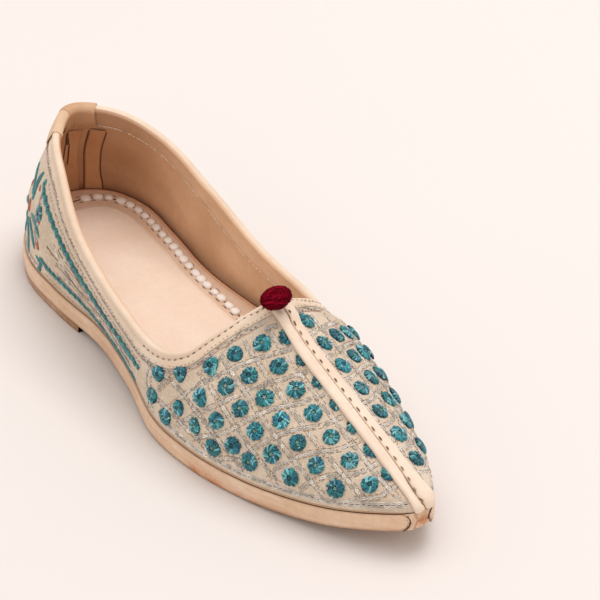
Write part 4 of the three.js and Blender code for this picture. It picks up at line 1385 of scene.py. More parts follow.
# Rosettes in rows along the vamp, and the doubled chain-stitched lines between them
ROWS = [
    {"girth": 2.2, "lean": 4.4, "pitch": 10.6, "fan": 0.01},
    {"girth": 12.2, "lean": 0.0, "pitch": 11.2, "fan": 0.025},
    {"girth": 23.8, "lean": -4.4, "pitch": 10.5, "fan": 0.055},
    {"girth": 34.3, "lean": -7.9, "pitch": 9.9, "fan": 0.12},
    {"girth": 46.6, "lean": -14.1, "pitch": 10.0, "fan": 0.2},
    {"girth": 58.3, "lean": -21.8, "pitch": 9.8, "fan": 0.1},
    {"girth": 67.5, "lean": -29.5, "pitch": 9.6, "fan": 0.05},
]
CORNER_ROSETTES = [(0.422, 23.0), (0.400, 28.0), (0.435, 11.5), (0.387, 15.5), (0.409, 7.4), (0.251, 10.9)]
ROW_ORIGIN = 171.6
INNER_SHIFT = -2.0
PANEL_END = 0.437
SOLE_MARGIN_BAND = 4.2
ROSETTE = 4.0


def row_place(row, index, side):
    x = ROW_ORIGIN + row["lean"] + row["pitch"] * index + (INNER_SHIFT if side == "inner" else 0)
    return x, row["girth"] + row["fan"] * (x - ROW_ORIGIN)


def strap_edge(side, x):
    """Girth from the ridge that the strap on one side covers."""
    return np.where(side == "outer", 4.7 - strap_aside(x), 5.6 + strap_aside(x))


def beyond_strap(side, c, r):
    """0 under the strap, 1 clear of it."""
    x = bilinear(TABLES[side][0], c, r)[0]
    w = bilinear(TABLES[side][1], c, r)[0]
    return smooth((w - strap_edge(side, x) + 0.1) / 0.7)


def rosette_places(side):
    xs, ws = [], []
    for row in ROWS:
        for index in range(-6, 8):
            x, w = row_place(row, index, side)
            xs.append(x)
            ws.append(w)
    xs, ws = np.array(xs), np.array(ws)
    c, r = find(side, xs, ws)
    found_x = bilinear(TABLES[side][0], c, r)[0]
    found_w = bilinear(TABLES[side][1], c, r)[0]
    climb = bilinear(TABLES[side][2], c, r)[0]
    share = np.interp(c, np.arange(LAST + 1.0), SHARES)
    points, _ = wall_at(side, c, r)
    keep = np.hypot(found_x - xs, found_w - ws) < 0.5
    keep &= (climb > SOLE_MARGIN_BAND + 3.6) & (share < PANEL_END - 0.006) & (share > 0.03)
    keep &= from_edge(points) > BINDING_WIDTH + 3.2
    keep &= (share < 0.372) | (side == "inner")
    c, r = c[keep], r[keep]
    if side == "outer":
        extra = at_share(side, *np.array(CORNER_ROSETTES).T)
        c, r = np.append(c, extra[0]), np.append(r, extra[1])
    return c, r


def rosettes(threads, side):
    c, r = rosette_places(side)
    count = len(c)
    share = np.interp(c, np.arange(LAST + 1.0), SHARES)
    size = ROSETTE * (1 + 0.05 * rng.normal(size=count)) * lerp(1.0, 0.84, smooth((share - 0.34) / 0.06))
    turn = rng.random(count) * 2 * np.pi
    shade = 1 + 0.1 * rng.normal(size=(count, 1))

    def laid(radius, angle, lift):
        """Threads given in each rosette's own round coordinates, (rosettes, threads, points)."""
        rr = radius * size[:, None, None] / ROSETTE
        aa = angle + turn[:, None, None]
        cc, ri = around(side, c[:, None, None], r[:, None, None], rr * np.cos(aa), rr * np.sin(aa))
        dome = lift + 0.85 * (1 - (radius / 4.2) ** 2) * np.ones_like(rr)
        clear = beyond_strap(side, cc, ri)
        p, n = wall_at(side, cc, ri, lerp(-0.6, dome, clear))
        k = p.shape[1]
        return p.reshape(-1, *p.shape[2:]), n.reshape(-1, *n.shape[2:]), k

    def colours(palette, k):
        return (pick(palette, count * k).reshape(count, k, 3) * shade[:, None]).reshape(-1, 3)

    petals = 17
    base = np.arange(petals) * 2 * np.pi / petals
    t = np.linspace(0, 1, 6)
    reach = 3.35 + 0.42 * rng.random((count, petals, 1))
    radius = 1.1 + (reach - 1.1) * t
    way = np.where(rng.random(count) < 0.5, -1, 1)[:, None, None] * (0.2 + 0.45 * rng.random((count, 1, 1)))
    swirl = base[:, None] + way * t**1.3 + 0.09 * rng.normal(size=(count, petals, 1))
    p, n, k = laid(radius, swirl, 0.12)
    threads.add(p, n, 0.5, 0.62, colours(TEAL_WITH_PAINTED_LIGHT, k), ends=0.8)
    # a ring of short threads over the petals' roots, and a knot in the middle
    ring = np.arange(8) * 2 * np.pi / 8
    radius = np.full((1, 8, 5), 1.3) + 0.12 * rng.normal(size=(count, 8, 1))
    swirl = ring[:, None] + np.linspace(-0.36, 0.36, 5)
    p, n, k = laid(radius, np.broadcast_to(swirl, (count, 8, 5)), 0.35)
    threads.add(p, n, 0.3, 0.36, colours(TEAL_WITH_PAINTED_LIGHT * 1.12, k), ends=0.5)
    t = np.linspace(0, 1, 5)
    # seven brighter arcs over the petals: painted highlights
    arcs = np.arange(7) * 2 * np.pi / 7
    radius = np.full((1, 7, 5), 2.5) + 0.25 * rng.normal(size=(count, 7, 1))
    swirl = arcs[:, None] + np.linspace(-0.26, 0.26, 5)
    p, n, k = laid(radius, np.broadcast_to(swirl, (count, 7, 5)), 0.5)
    threads.add(p, n, 0.26, 0.3, colours(TEAL_WITH_PAINTED_LIGHT * 1.3, k), ends=0.5)
    spokes = np.arange(5) * 2 * np.pi / 5
    radius = np.broadcast_to(np.linspace(0.05, 0.95, 5), (count, 5, 5))
    p, n, k = laid(radius, np.broadcast_to(spokes[:, None] + 0 * t, (count, 5, 5)), 0.16)
    knots = np.array([rgb(120, 168, 150), rgb(20, 84, 96), rgb(150, 170, 160), rgb(24, 96, 110)])
    threads.add(p, n, 0.24, 0.26, np.repeat(pick(knots, count), 5, axis=0), ends=0.5)
    return c, r


def grounds(threads, side, c, r):
    """A dark stitched ground under each rosette, so no leather shows between its threads; its dark tone is painted
    shade for the gaps between them.
    """
    rings = np.array([0.0, 1.4, 2.7, 3.35])
    angle = np.linspace(0, 2 * np.pi, 15)
    for one_c, one_r in zip(c, r):
        cc, rr = around(side, one_c, one_r, rings[:, None] * np.cos(angle), rings[:, None] * np.sin(angle))
        lift = np.array([0.9, 0.78, 0.45, 0.04])[:, None] + 0 * angle
        p, _ = wall_at(side, cc, rr, lerp(-0.2, lift, beyond_strap(side, cc, rr)))
        threads.add_grid(p if side == "outer" else p[:, ::-1], np.array(rgb(16, 92, 104)))


def runs_of(mask):
    """Starts and ends of the runs of true values."""
    edges = np.flatnonzero(np.diff(np.concatenate([[0], mask.astype(int), [0]])))
    return zip(edges[::2], edges[1::2])


def panel_lines(side):
    """The lines of the lattice that lie on the vamp's panel."""
    paths = []
    x = np.linspace(118, 254, 320)
    for k in range(len(ROWS) - 1):
        near, far = ROWS[k], ROWS[k + 1]
        w = [row["girth"] + row["fan"] * (x - ROW_ORIGIN) for row in (near, far)]
        paths.append((x, (w[0] + w[1]) / 2))
    for index in range(-6, 8):
        knots = [row_place(row, index + 0.5, side) for row in ROWS]
        first = np.subtract(knots[0], np.subtract(knots[1], knots[0]) * 0.3)
        last = np.add(knots[-1], np.subtract(knots[-1], knots[-2]) * 1.2)
        dense = through(np.array([(a, b, 0) for a, b in [first, *knots, last]]), per=30)
        paths.append((dense[:, 0], dense[:, 1]))
    lines = []
    for x, w in paths:
        c, r = find(side, x, w)
        found_x = bilinear(TABLES[side][0], c, r)[0]
        found_w = bilinear(TABLES[side][1], c, r)[0]
        climb = bilinear(TABLES[side][2], c, r)[0]
        share = np.interp(c, np.arange(LAST + 1.0), SHARES)
        points, normals = wall_at(side, c, r)
        good = np.hypot(found_x - x, found_w - w) < 0.4
        good &= (climb > SOLE_MARGIN_BAND + 0.9) & (share < PANEL_END) & (w > strap_edge(side, x) + 0.4)
        good &= from_edge(points) > BINDING_WIDTH + 2.4
        for a, b in runs_of(good):
            if b - a > 4:
                lines.append(Line(points[a:b], normals[a:b]))
    return lines


silk = Threads()
# the rosettes' dark grounds: painted shade for the gaps between their threads
ground = Threads()
silver = Threads()
for side in ("outer", "inner"):
    c, r = rosettes(silk, side)
    grounds(ground, side, c, r)
    for line in panel_lines(side):
        chain(silver, line, 0.0, pitch=2.6, half=0.4, wide=0.2, high=0.18, keep=0.85)
        # dark dashes in and beside the chain: partly dark thread, partly painted shade in its gaps
        running(silver, line, 0.0, pitch=2.6, length=0.8, wide=0.13, palette=DARK_THREAD_AND_SHADE, skip=0.45, start=1.0)
        for aside in (-0.5, 0.5):
            running(silver, line, aside, pitch=1.3, length=0.5, wide=0.13, high=0.2, palette=DARK_THREAD_AND_SHADE, skip=0.35)
        for aside in (-1.05, 1.05):
            running(silver, line, aside, pitch=2.7, length=2.3, wide=0.085, high=0.1, palette=BROWN, skip=0.12)
silk.make("rosette_threads", SILK)
ground.make("rosette_gap_shade", SILK)
silver.make("lattice_chain_stitches", METAL_THREAD)

# Borders of the panel, and the quarter's bands and flowers
borders = Threads()
bands = Threads()
for side in ("outer", "inner"):
    shares = np.linspace(0.02, 0.425, 9)
    for climb, palette in ((3.0, SILVER), (4.4, SILVER)):
        line = line_between(side, shares, np.full(9, climb))
        chain(borders, line, palette=palette, pitch=2.4)
    # dark dashes between the two chains: partly dark thread, partly painted shade
    running(borders, line_between(side, shares, np.full(9, 3.7)), pitch=2.4, length=1.3, palette=DARK_THREAD_AND_SHADE)
    rear = line_between(side, [0.4375, 0.4440, 0.4475, 0.4440, 0.4300], [24.5, 17.2, 10.5, 6.0, 3.6])
    for aside in (-0.8, 0.8):
        chain(borders, rear, aside, palette=SILVER)
    # dark dashes between the two chains: partly dark thread, partly painted shade
    running(borders, rear, 0.0, palette=DARK_THREAD_AND_SHADE)
    running(borders, rear, 2.4 if side == "outer" else -2.4, pitch=2.0, length=1.3, palette=EARTH)
    upper_line = line_between(
        side,
        [0.851, 0.845, 0.82, 0.786, 0.748, 0.714, 0.697, 0.659, 0.62, 0.58, 0.542, 0.503, 0.473],
        [42.0, 38.5, 35.5, 32.0, 28.7, 25.7, 24.2, 21.2, 18.9, 17.0, 16.2, 15.8, 15.5],
    )
    half = np.concatenate([[0.8, 1.6], np.full(10, 1.6), [2.3, 2.2, 0.9]])
    satin(bands, upper_line, half, pitch=0.4, zigzag=0.55, period=4.4, slant=0.5, high=0.36, dome=0.6)
    lower_line = line_between(
        side,
        [0.799, 0.781, 0.759, 0.734, 0.716, 0.692, 0.675, 0.658, 0.627, 0.592, 0.556, 0.529, 0.502],
        [8.8, 7.6, 7.9, 8.2, 7.6, 7.0, 6.4, 5.8, 5.0, 4.6, 4.4, 4.3, 4.2],
    )
    half = np.concatenate([[1.2, 1.4], np.full(10, 1.15), [1.4, 1.7, 0.7]])
    satin(bands, lower_line, half, pitch=0.4, zigzag=0.4, period=3.8, slant=0.5, high=0.34, dome=0.5)
    satin(bands, line_between(side, [0.8005, 0.801, 0.8015], [8.8, 5.0, 1.8], 60), [0.8, 1.1, 0.9])
    satin(bands, line_between(side, [0.8015, 0.805, 0.808], [1.8, 1.4, 2.4], 40), [0.8, 0.9, 0.5])
    # thread lines that converge between the two bands
    for part in np.linspace(0.1, 0.9, 9):
        shares = np.linspace(0.765 - 0.02 * np.sin(part * 9), 0.515, 12)
        top = np.interp(shares, [0.473, 0.503, 0.542, 0.58, 0.62, 0.659, 0.697, 0.714, 0.748, 0.786], [15.5, 15.8, 16.2, 17.0, 18.9, 21.2, 24.2, 25.7, 28.7, 32.0])
        low = np.interp(shares, [0.516, 0.556, 0.592, 0.627, 0.658, 0.692, 0.734, 0.781], [4.2, 4.4, 4.6, 5.0, 5.8, 7.0, 8.2, 7.6])
        wave = 0.035 * np.sin(np.arange(12) * 1.9 + part * 20)
        line = line_between(side, shares, lerp(low, top, np.clip(part + wave, 0.08, 0.92)))
        palette = (EARTH, SILVER, BLUSH, EARTH, BROWN, SILVER, BLUSH, EARTH, BROWN)[round(part * 10) - 1]
        chain(bands, line, pitch=1.9, half=0.26, wide=0.16, high=0.16, palette=palette, keep=0.9)
    above = line_between(side, [0.84, 0.786, 0.714, 0.659, 0.58, 0.503, 0.46], [42, 36.2, 29.0, 24.6, 20.3, 19.0, 18.8])
    running(bands, above, pitch=2.0, length=1.7, wide=0.2, palette=BLUSH)
    running(bands, above, 0.9 if side == "outer" else -0.9, pitch=2.2, length=1.5, wide=0.14, palette=EARTH)
    below = line_between(side, [0.79, 0.734, 0.675, 0.627, 0.556, 0.5, 0.452], [2.6, 2.4, 2.3, 2.2, 2.2, 2.2, 2.2])
    running(bands, below, pitch=2.0, length=1.6, wide=0.16, palette=EARTH)
for depth, palette in ((0.7, SILVER), (1.9, BLUSH)):
    line = edge_line(depth, 0.012, 0.988, 1200)
    chain(borders, line, pitch=1.9, half=0.24, wide=0.12, palette=palette)
# dark dashes between the two chains under the edge: partly dark thread, partly painted shade
line = edge_line(1.3, 0.012, 0.988, 1200)
running(borders, line, pitch=2.1, length=1.0, wide=0.16, palette=DARK_THREAD_AND_SHADE, skip=0.2)


# The heel's flower spray: petals and leaves as satin blades, a round flower and small coral seeds
def blade(threads, side, centre, start, end, width, palette, bend=0.0):
    """A leaf from start to end, in mm forward and up from a centre given by share and climb."""
    c, r = at_share(side, centre[0], centre[1])
    t = np.linspace(0, 1, 40)
    a, b = np.array(start, float), np.array(end, float)
    across = np.array([-(b - a)[1], (b - a)[0]])
    path = a + (b - a) * t[:, None] + across * bend * (np.sin(np.pi * t))[:, None]
    cc, rr = around(side, c, r, path[:, 0], -path[:, 1])
    line = Line(*wall_at(side, cc, rr))
    satin(threads, line, width * np.array([0.25, 0.8, 1.0, 0.95, 0.7, 0.2]), slant=1.1, palette=palette)


HEEL_CENTRE = (0.868, 22.0)
BLADES = [
    {"start": (1, 5), "end": (4.5, 20), "width": 1.9, "bend": 0.08},
    {"start": (-2, 6), "end": (-8.5, 18), "width": 1.7, "bend": -0.1},
    {"start": (4, 0), "end": (16.5, -4.5), "width": 1.5, "bend": 0.1},
    {"start": (3, -2.5), "end": (10.5, -12.5), "width": 1.5, "bend": 0.08},
    {"start": (0, -4), "end": (2.0, -17.5), "width": 1.6, "bend": 0.06},
    {"start": (-4, 0), "end": (-14, -3.5), "width": 1.5, "bend": -0.1},
    {"start": (-3, -3), "end": (-8, -13.5), "width": 1.5, "bend": -0.08},
    {"start": (12, -14.5), "end": (18, -17.0), "width": 1.0, "bend": 0.05},
]
SEEDS = [(-1.2, 1.2, 1.5, 2.6), (14.5, 2.6, 1.0, 1.4), (15.0, -8.8, 0.9, 1.8), (7.0, 14.0, 0.9, 1.2), (-10.5, 6.5, 0.9, 1.4)]


def heel_flower(threads, side):
    for b in BLADES:
        blade(threads, side, HEEL_CENTRE, b["start"], b["end"], b["width"], GREEN, b["bend"])
    for x, y, half, long in SEEDS:
        blade(threads, side, HEEL_CENTRE, (x, y - long), (x, y + long), half, CORAL)
    c, r = at_share(side, 0.829, 27.8)
    angle = np.arange(26) * 2 * np.pi / 26
    t = np.linspace(0.25, 1, 5)
    radius = 3.4 * t[None, :] * (1 + 0.05 * rng.normal(size=(26, 1)))
    cc, rr = around(side, c, r, radius * np.cos(angle[:, None] + 0.3 * t), 1.15 * radius * np.sin(angle[:, None] + 0.3 * t))
    p, n = wall_at(side, cc, rr, 0.1 + 0.45 * (1 - t[None, :] ** 2) + 0 * radius)
    threads.add(p, n, 0.42, 0.3, pick(TEAL_WITH_PAINTED_LIGHT, 26), ends=0.5)
    for start, end, palette in (((11, 14), (13, -12), EARTH), ((12.4, 12), (14.6, -9), SILVER), ((9.8, 12), (10.5, -3), BLUSH)):
        c, r = at_share(side, *HEEL_CENTRE)
        t = np.linspace(0, 1, 50)
        x = lerp(start[0], end[0], t) + 0.9 * np.sin(t * 7)
        cc, rr = around(side, c, r, x, -lerp(start[1], end[1], t))
        line = Line(*wall_at(side, cc, rr))
        chain(threads, line, pitch=1.7, half=0.3, wide=0.16, palette=palette)


for side in ("outer", "inner"):
    heel_flower(bands, side)
borders.make("border_stitches", METAL_THREAD)
bands.make("quarter_embroidery", SILK)

# the stretch of the edge, on the outer side, that the painted shadow line runs along
SHADOW_LINE_RANGE = (0.10, 0.42) if EDGE_PATH.points[len(EDGE_PATH.points) // 4][1] < 0 else (0.58, 0.90)

# Stitches in the trim: along the groove of the binding, between the straps and on the facing's hem, and a painted
# shadow line inside the binding
trim = Threads()
STITCH_BROWN = np.array([rgb(136, 104, 78), rgb(118, 88, 64), rgb(156, 124, 96)])
PALE = np.array([rgb(255, 238, 214), rgb(250, 228, 200)])


def along_binding(start, end, depth, lift, inside=False, count=900):
    sweep = EdgeSweep(np.linspace(start, end, count))
    depth = band_depths(sweep)[1] if depth is None else depth
    place = sweep.beside(depth, lift, -1 if inside else 1)
    return Line(place, -sweep.out if inside else sweep.out)


front_line = along_binding(-0.16, 0.16, None, BINDING_NEAR + 0.5 * BINDING_THICK, count=700)
running(trim, front_line, pitch=3.0, length=1.4, wide=0.22, high=0.2, palette=STITCH_BROWN, lift=0.1)
rear_line = along_binding(0.16, 0.84, GROOVE, BINDING_NEAR + 0.5 * BINDING_THICK, count=1200)
running(trim, rear_line, pitch=3.3, length=1.2, wide=0.14, high=0.12, palette=PALE, lift=0.04, skip=0.2)
sweep = EdgeSweep(np.linspace(0.0, 1.0, 1600))
band_line = Line(sweep.beside(band_depths(sweep)[0] - 0.7, BINDING_NEAR + BINDING_THICK), sweep.out)
running(trim, band_line, pitch=1.9, length=0.7, wide=0.12, high=0.12, palette=BROWN, lift=0.02, skip=0.25)
hem_line = along_binding(0.03, 0.97, 9.0, BINDING_NEAR + 1.0 * BINDING_THICK, True, 1600)
running(trim, hem_line, pitch=2.3, length=2.15, wide=0.27, high=0.24, palette=PALE, lift=0.04)
# painted shadow: one dark unbroken line along the binding's inside on the outer side, for the shadow gap between the
# binding and the pad
shadow_line_inside = along_binding(*SHADOW_LINE_RANGE, 1.6, BINDING_NEAR + 1.2 * BINDING_THICK, True, 1500)
running(trim, shadow_line_inside, pitch=6.0, length=6.2, wide=0.2, high=0.08, palette=STITCH_BROWN, lift=0.0)

# A tan cord lies in the seam where the upper meets the sole
SEAM_TAN = np.array([rgb(206, 164, 126)])
for side in ("outer", "inner"):
    line = line_between(side, np.linspace(0.02, 0.9995, 60), np.full(60, 0.3), 1200)
    p, n, across = line.read(np.linspace(0, line.length, 900))
    trim.add(p[None] + n[None] * 0.04, n[None], 0.48, 0.34, SEAM_TAN, ends=0.3)

path = strap_path(400)[20:]
target = path + np.stack([0 * path[:, 0], strap_aside(path[:, 0]) + 0.75, 0 * path[:, 0]], -1)
place, out = seat(target)
near = 0.25 + 1.35 * smooth((THROAT_AT + 12 - path[:, 0]) / 5)
groove_line = Line(place + out * (near + 1.05)[:, None], out)
running(trim, groove_line, pitch=4.9, length=2.1, wide=0.32, high=0.3, palette=STITCH_BROWN, lift=0.2)
trim.make("trim_stitches", SILK, slot="trim_leather")


# Parts sewn on the lining at the heel: a stay, a patch, and two slits
STAY = leather("heel_stay_leather", rgb(212, 162, 118), rgb(192, 140, 98), 0.55, 0.6)
def smooth_run(knots, t):
    """A smooth line through points given as (share, climb)."""
    dense = through(np.array([(share * 400, climb, 0) for share, climb in knots]), per=16)
    at = np.linspace(0, 1, len(dense))
    return np.stack([np.interp(t, at, dense[:, 0]) / 400, np.interp(t, at, dense[:, 1])], -1)


def lining_piece(name, side, outline, material, thick=0.7, count=26):
    """A thin patch on the lining, between two lines given as (share, climb) from top to bottom."""
    t = np.linspace(0, 1, count)
    left, right = (np.array(line, float) for line in outline)
    a, b = (smooth_run(line, t) for line in (left, right))
    u = np.array([0, 0, 0.06, 0.14, 0.3, 0.5, 0.7, 0.86, 0.94, 1, 1])
    lift = thick * np.array([-0.3, 0.5, 0.9, 1.0, 1.03, 1.05, 1.03, 1.0, 0.9, 0.5, -0.3])
    both = a[:, None] * (1 - u[None, :, None]) + b[:, None] * u[None, :, None]
    share, climb = both[..., 0], both[..., 1]
    flip = share > 1
    points = np.zeros((*share.shape, 3))
    for name_of, mask in ((side, ~flip), ("outer" if side == "inner" else "inner", flip)):
        own = np.where(share > 1, 2 - share, share)
        c, r = at_share(name_of, own, climb)
        p, n = wall_at(name_of, c, r)
        depth = np.maximum(0, CLIMB[LAST, -1] - climb)
        p = p - n * (wall_thickness(depth) + lift[None, :] * np.ones_like(share))[..., None]
        points[mask] = p[mask]
    end = points[:1] * 1.0, points[-1:] * 1.0
    piece = make(name, points.reshape(-1, 3), grid(points.shape[0], points.shape[1])[:, ::-1], material)
    return piece


lining_piece("heel_stay", "inner", ([(0.961, 41.5), (0.966, 26), (0.964, 15), (0.963, 4)],
                                    [(0.936, 41.5), (0.943, 26), (0.941, 14), (0.935, 4)]), STAY)
lining_piece("heel_patch", "inner", ([(1.008, 18), (1.010, 12), (1.012, 8), (1.012, 4)],
                                     [(0.984, 19), (0.978, 15), (0.976, 8), (0.975, 4)]), STAY, 0.6)
lining_piece("heel_counter_lining", "inner", ([(1.03, 40), (1.03, 30), (1.03, 15), (1.03, 4)],
                                     [(0.972, 40), (0.976, 27), (0.974, 15), (0.972, 4)]), STAY, 0.35)
slits = Threads()
SHADOW = np.array([rgb(84, 44, 22), rgb(70, 36, 18)])
SEAM = np.array([rgb(120, 70, 36), rgb(112, 64, 34)])
# painted shade: dark strips for the shade inside two slits in the lining
for knots in (((0.9915, 31), (0.9915, 22.0), (0.9925, 19.2)), ((0.9985, 36), (1.0, 28.0), (1.0, 22.0))):
    t = np.linspace(0, 1, 30)
    share = np.interp(t, np.linspace(0, 1, 3), [k[0] for k in knots])
    climb = np.interp(t, np.linspace(0, 1, 3), [k[1] for k in knots])
    p, n = wall_at("inner", *at_share("inner", np.minimum(share, 0.9999), climb))
    p = p - n * (wall_thickness(CLIMB[LAST, -1] - climb) + 0.42)[:, None]
    slits.add(p[None], -n[None], 0.42, 0.15, SHADOW[:1], ends=0.3)
for knots in (((0.9635, 40), (0.9665, 26), (0.9645, 15), (0.9635, 4.2)), ((0.9355, 40), (0.9425, 26), (0.9405, 14), (0.9345, 4.2)),
              ((0.9985, 19.5), (0.984, 19.5), (0.9775, 15), (0.9755, 4.5))):
    dense = through(np.array([(a * 400, b, 0) for a, b in knots]), per=16)
    share, climb = dense[:, 0] / 400, dense[:, 1]
    p, n = wall_at("inner", *at_share("inner", np.minimum(share, 0.9999), climb))
    p = p - n * (wall_thickness(CLIMB[LAST, -1] - climb) + 0.1)[:, None]
    slits.add(p[None], -n[None], 0.55, 0.1, SEAM[:1], ends=0.5)
# painted shade: dark strips for the shadow under two folds of the lining
for knots, wide in ((((0.9995, 39.5), (0.9985, 35), (0.9975, 31)), 0.75), (((0.9985, 36), (0.9955, 33.5), (0.9945, 30.5)), 0.6)):
    share, climb = smooth_run(knots, np.linspace(0, 1, 30)).T
    p, n = wall_at("inner", *at_share("inner", np.minimum(share, 0.9999), climb))
    p = p - n * (wall_thickness(CLIMB[LAST, -1] - climb) + 0.5)[:, None]
    slits.add(p[None], -n[None], wide, 0.15, SHADOW[:1], ends=0.2)
slits.make("heel_seams_and_painted_shade", SILK, slot="lining_leather")

# Painted shadow: dark lines round the strip's rounded ends at the toe, in the stub's seam, and under the upper's
# feather edge
toe_shadow_lines = Threads()


def sole_face(side, share, level, lift):
    point, out = foot(side, np.maximum(share, 0.0))
    point = point + out * np.reshape(lift, (-1, 1))
    point[:, 2] = underside(point[:, 0]) + SOLE_THICKNESS * level
    return point, out


for side, end in (("outer", STRIP_ENDS["outer"]), ("inner", STRIP_ENDS["inner"])):
    pair, _ = foot(side, np.array([end, end + 0.01]))
    per_mm = 0.01 / np.linalg.norm(pair[1] - pair[0])
    level = np.linspace(0.03, 0.9, 30)
    back = SOLE_THICKNESS / 2 * (1 - np.sqrt(1 - (2 * level - 1) ** 2))
    path, out = sole_face(side, end + per_mm * (0.9 * back - 0.4), level, 0.85)
    toe_shadow_lines.add(path[None], out[None], 0.32, 0.3, SHADOW[:1], ends=0.3)
for side, start, end, wide in (("outer", 0.018, 0.30, 0.42), ("inner", 0.012, 0.30, 0.42), ("outer", 0.31, 0.97, 0.2), ("inner", 0.31, 0.97, 0.2)):
    share = np.linspace(start, end, 160)
    path, out = sole_face(side, share, 1.0, 0.12)
    path[:, 2] = sole_top(path[:, 0]) + 0.1
    toe_shadow_lines.add(path[None], np.array([0, 0, 1.0]) * np.ones((1, 160, 3)), wide, 0.16, SHADOW[:1] * 1.1, ends=0.15)
toe_shadow_lines.make("toe_shadow_lines", SILK, node="outsole", slot="sole_leather")


# Wool: wound strands over the pompom's core, and short loose hairs
wool = Threads()
CRIMSON = np.array([rgb(142, 4, 34), rgb(112, 0, 24), rgb(166, 14, 46), rgb(84, 0, 16)])


def on_ball(polar, turn, more):
    ball = np.stack([np.sin(polar) * np.cos(turn), -np.cos(polar), np.sin(polar) * np.sin(turn)], -1)
    strand = 0.22 * np.cos(9 * turn + 4 * polar) * np.sin(polar) - 0.75
    return POMPOM_CENTRE + ball * (POMPOM + (strand + more)[..., None]), ball


strands = 150
turn = rng.random(strands)[:, None] * 2 * np.pi
reach = np.sort(rng.random((strands, 2)), axis=1)
polar = np.pi * (0.06 + 0.88 * (reach[:, :1] * 0.4 + (0.6 + 0.4 * (reach[:, 1:] - reach[:, :1])) * np.linspace(0, 1, 16)))
polar = np.clip(polar, 0.1, np.pi - 0.1)
sway = turn + 0.25 * np.sin(polar * 2 + turn * 3) + 0.4 * (polar - np.pi / 2) * rng.normal(size=(strands, 1)) * 0.6
p, n = on_ball(polar, sway, 0.1 + 0.25 * rng.random((strands, 1)) + 0 * polar)
wool.add(p, n, 0.3, 0.3, pick(CRIMSON, strands, 0.2), ends=0.5)
hairs = 2600
polar = np.arccos(1 - 2 * rng.random((hairs, 1)))
turn = rng.random((hairs, 1)) * 2 * np.pi
t = np.linspace(0, 1, 4)
lean = rng.normal(size=(hairs, 2)) * 0.16
length = 0.55 + 0.3 * rng.random((hairs, 1))
p, n = on_ball(polar + lean[:, :1] * t, turn + lean[:, 1:] * t, 0.15 + length * t)
wool.add(p, unit(np.cross(np.gradient(p, axis=1), n) + 1e-6), 0.05, 0.05, pick(CRIMSON, hairs, 0.2), ends=0.3)
wool.make("pompom_wool", WOOL_THREAD, slot="wool")

# A cord along the insole's outer edge, and dark thread between and beside the beads, partly painted shade round their
# sunk edges
cord = Threads()
CORD = np.array([rgb(232, 176, 138), rgb(220, 160, 122)])
for side in ("outer", "inner"):
    share = np.linspace(0.36, 1.0, 420)
    point, out = foot(side, share)
    for inset, wide, tint, lift in ((4.0, 0.6, CORD[0], 0.1), (3.0, 0.4, SEAM[0], 0.0)):
        path = point - out * inset
        path[:, 2] = sole_top(path[:, 0]) + INSOLE_THICKNESS + lift
        cord.add(path[None], np.array([0, 0, 1.0]) * np.ones((1, 420, 3)), wide, 0.4, tint[None], ends=0.9)
    share = np.linspace(0.43, 1.0, 700)
    line, out = inset_foot(side, share, BEAD_INSET)
    line[:, 2] = sole_top(line[:, 0]) + INSOLE_THICKNESS
    cord.add(line[None], np.array([0, 0, 1.0]) * np.ones((1, 700, 3)), 0.42, 0.25, SEAM[:1], ends=0.9)
    for offset in (-2.0, 2.0):
        path = Line(line + out * offset, np.array([0, 0, 1.0]) * np.ones((700, 3)))
        running(cord, path, pitch=5.0, length=2.6, wide=0.16, high=0.14, palette=SEAM, lift=0.02)
cord.make("insole_cord_and_bead_shade", SILK, node="insole", slot="lining_leather")

# The seam down the back of the heel: a satin rib between chain stitches
back = Threads()
climb = np.linspace(3.5, CLIMB[LAST, -1] - 9.0, 90)
points, normals = wall_at("outer", *at_share("outer", np.full(90, 0.9999), climb))
seam = Line(points, normals)
satin(back, seam, 0.95, pitch=0.42, slant=0.9, palette=GREEN, zigzag=0.3, period=3.6, high=0.34, dome=0.5)
for aside in (-2.0, 2.0):
    chain(back, seam, aside, pitch=2.2, half=0.36, wide=0.17, palette=SILVER)
for aside in (-3.0, -1.35, 1.35, 3.0):
    running(back, seam, aside, pitch=2.2, length=1.8, wide=0.1, palette=BROWN)
for side in ("outer", "inner"):
    for start in (1.6, 3.2):
        line = line_between(side, [0.8, 0.86, 0.92, 0.96, 0.994], np.full(5, start), 120)
        chain(back, line, pitch=2.2, half=0.32, wide=0.15, palette=SILVER if start < 2 else BLUSH)
    leaf = ((0.955, 9.0, 2.0, 9.0), (0.955, 9.0, -3.5, 7.5), (0.955, 9.0, 7.0, 6.0), (0.958, 27.0, 2.5, 8.0), (0.958, 27.0, -4.5, 5.0))
    for share, climb, x, y in leaf:
        blade(back, side, (share, climb), (0.25 * x, 0.25 * y), (x, y), 1.2, GREEN, 0.08)
    for share, climb in ((0.955, 7.0), (0.958, 25.0)):
        blade(back, side, (share, climb), (0, -1.2), (0, 1.4), 1.0, CORAL)
back.make("heel_back_embroidery", SILK)

# The wool tie that holds the pompom down on the straps
tie = Threads()
lowest = POMPOM_CENTRE + np.array([-1.3, 0, -POMPOM[2] * 0.7])
place, out = seat(np.array([lowest]))
top = place[0] + out[0] * 1.9
turn = np.arange(16) * 2 * np.pi / 16
t = np.linspace(0, 1, 8)
for ring in (0.2, 0.45):
    spread = np.stack([np.cos(turn), np.sin(turn), 0 * turn], -1) * ring
    start = top + spread * [2.6, 2.6, 0] - [0, 0, 0.7]
    stop = lowest + spread * [2.6, 2.6, 0]
    path = start[:, None] * (1 - t[None, :, None]) + stop[:, None] * t[None, :, None]
    facing = unit(spread[:, None] + [0, 0, 0.01] + 0 * path)
    tie.add(path, facing, 0.42, 0.34, pick(CRIMSON, 16, 0.2), ends=0.7)
tie.make("pompom_tie", WOOL_THREAD, slot="wool")


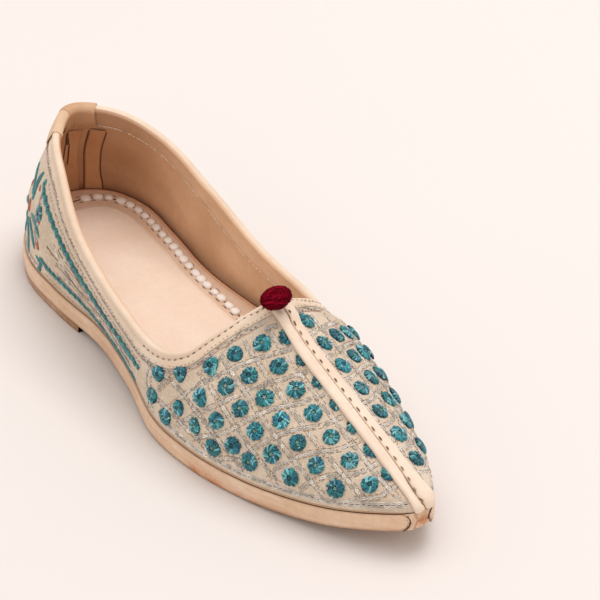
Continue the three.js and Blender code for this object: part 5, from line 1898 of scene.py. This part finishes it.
# Camera at the photograph's angle to the shoe
AZIMUTH, ELEVATION, ROLL = (math.radians(v) for v in (53.49, 36.24, 2.51))
back = np.array([
    math.sin(AZIMUTH) * math.cos(ELEVATION), -math.cos(AZIMUTH) * math.cos(ELEVATION), math.sin(ELEVATION)
])
right = np.array([math.cos(AZIMUTH), math.sin(AZIMUTH), 0.0])
up = np.cross(back, right)
axis_x = math.cos(ROLL) * right + math.sin(ROLL) * up
axis_y = -math.sin(ROLL) * right + math.cos(ROLL) * up
place = np.array([127.5, 0, 20]) + 27.1 * axis_x + 15.25 * axis_y + 1626.5 * back
camera_data = bpy.data.cameras.new("camera")
camera_data.sensor_width = 36
camera_data.lens = 4091.6 / 600 * 36
camera_data.clip_start = 0.05
camera = bpy.data.objects.new("camera", camera_data)
camera.matrix_world = Matrix.Translation(to_scene(place)) @ Matrix(
    np.array([axis_x, axis_y, back]).T.tolist()
).to_4x4()
bpy.context.scene.collection.objects.link(camera)
bpy.context.scene.camera = camera

# Floor, sky and lights
floor_mesh = bpy.data.meshes.new("floor")
floor_mesh.from_pydata([(-3, -3, 0), (3, -3, 0), (3, 3, 0), (-3, 3, 0)], [], [(0, 1, 2, 3)])
s = Shader("floor_paper", Specular_IOR_Level=0.1)
FLOOR = s.finish(s.mix(s.noise(3, 2), rgb(234, 230, 227), rgb(230, 226, 222)), 0.9)
floor_mesh.materials.append(FLOOR)
floor = bpy.data.objects.new("floor", floor_mesh)
bpy.context.scene.collection.objects.link(floor)

world = bpy.data.worlds.new("studio")
world.use_nodes = True
world.node_tree.nodes["Background"].inputs["Color"].default_value = (1.0, 0.935, 0.905, 1.0)
world.node_tree.nodes["Background"].inputs["Strength"].default_value = 0.8
bpy.context.scene.world = world
bpy.context.scene.view_settings.view_transform = "Standard"


def area_light(name, place, target, size, power, colour=(1.0, 1.0, 1.0)):
    data = bpy.data.lights.new(name, "AREA")
    data.size = size
    data.energy = power
    data.color = colour
    light = bpy.data.objects.new(name, data)
    light.location = place
    light.rotation_euler = (Vector(target) - Vector(place)).to_track_quat("-Z", "Y").to_euler()
    bpy.context.scene.collection.objects.link(light)


area_light("key", (-0.1, 0.55, 1.7), (0, 0, 0.02), 1.0, 12.3, (1.0, 0.955, 0.95))
area_light("fill", (-0.1, -0.45, 1.9), (0, 0, 0.02), 1.6, 5.0, (1.0, 0.95, 0.935))
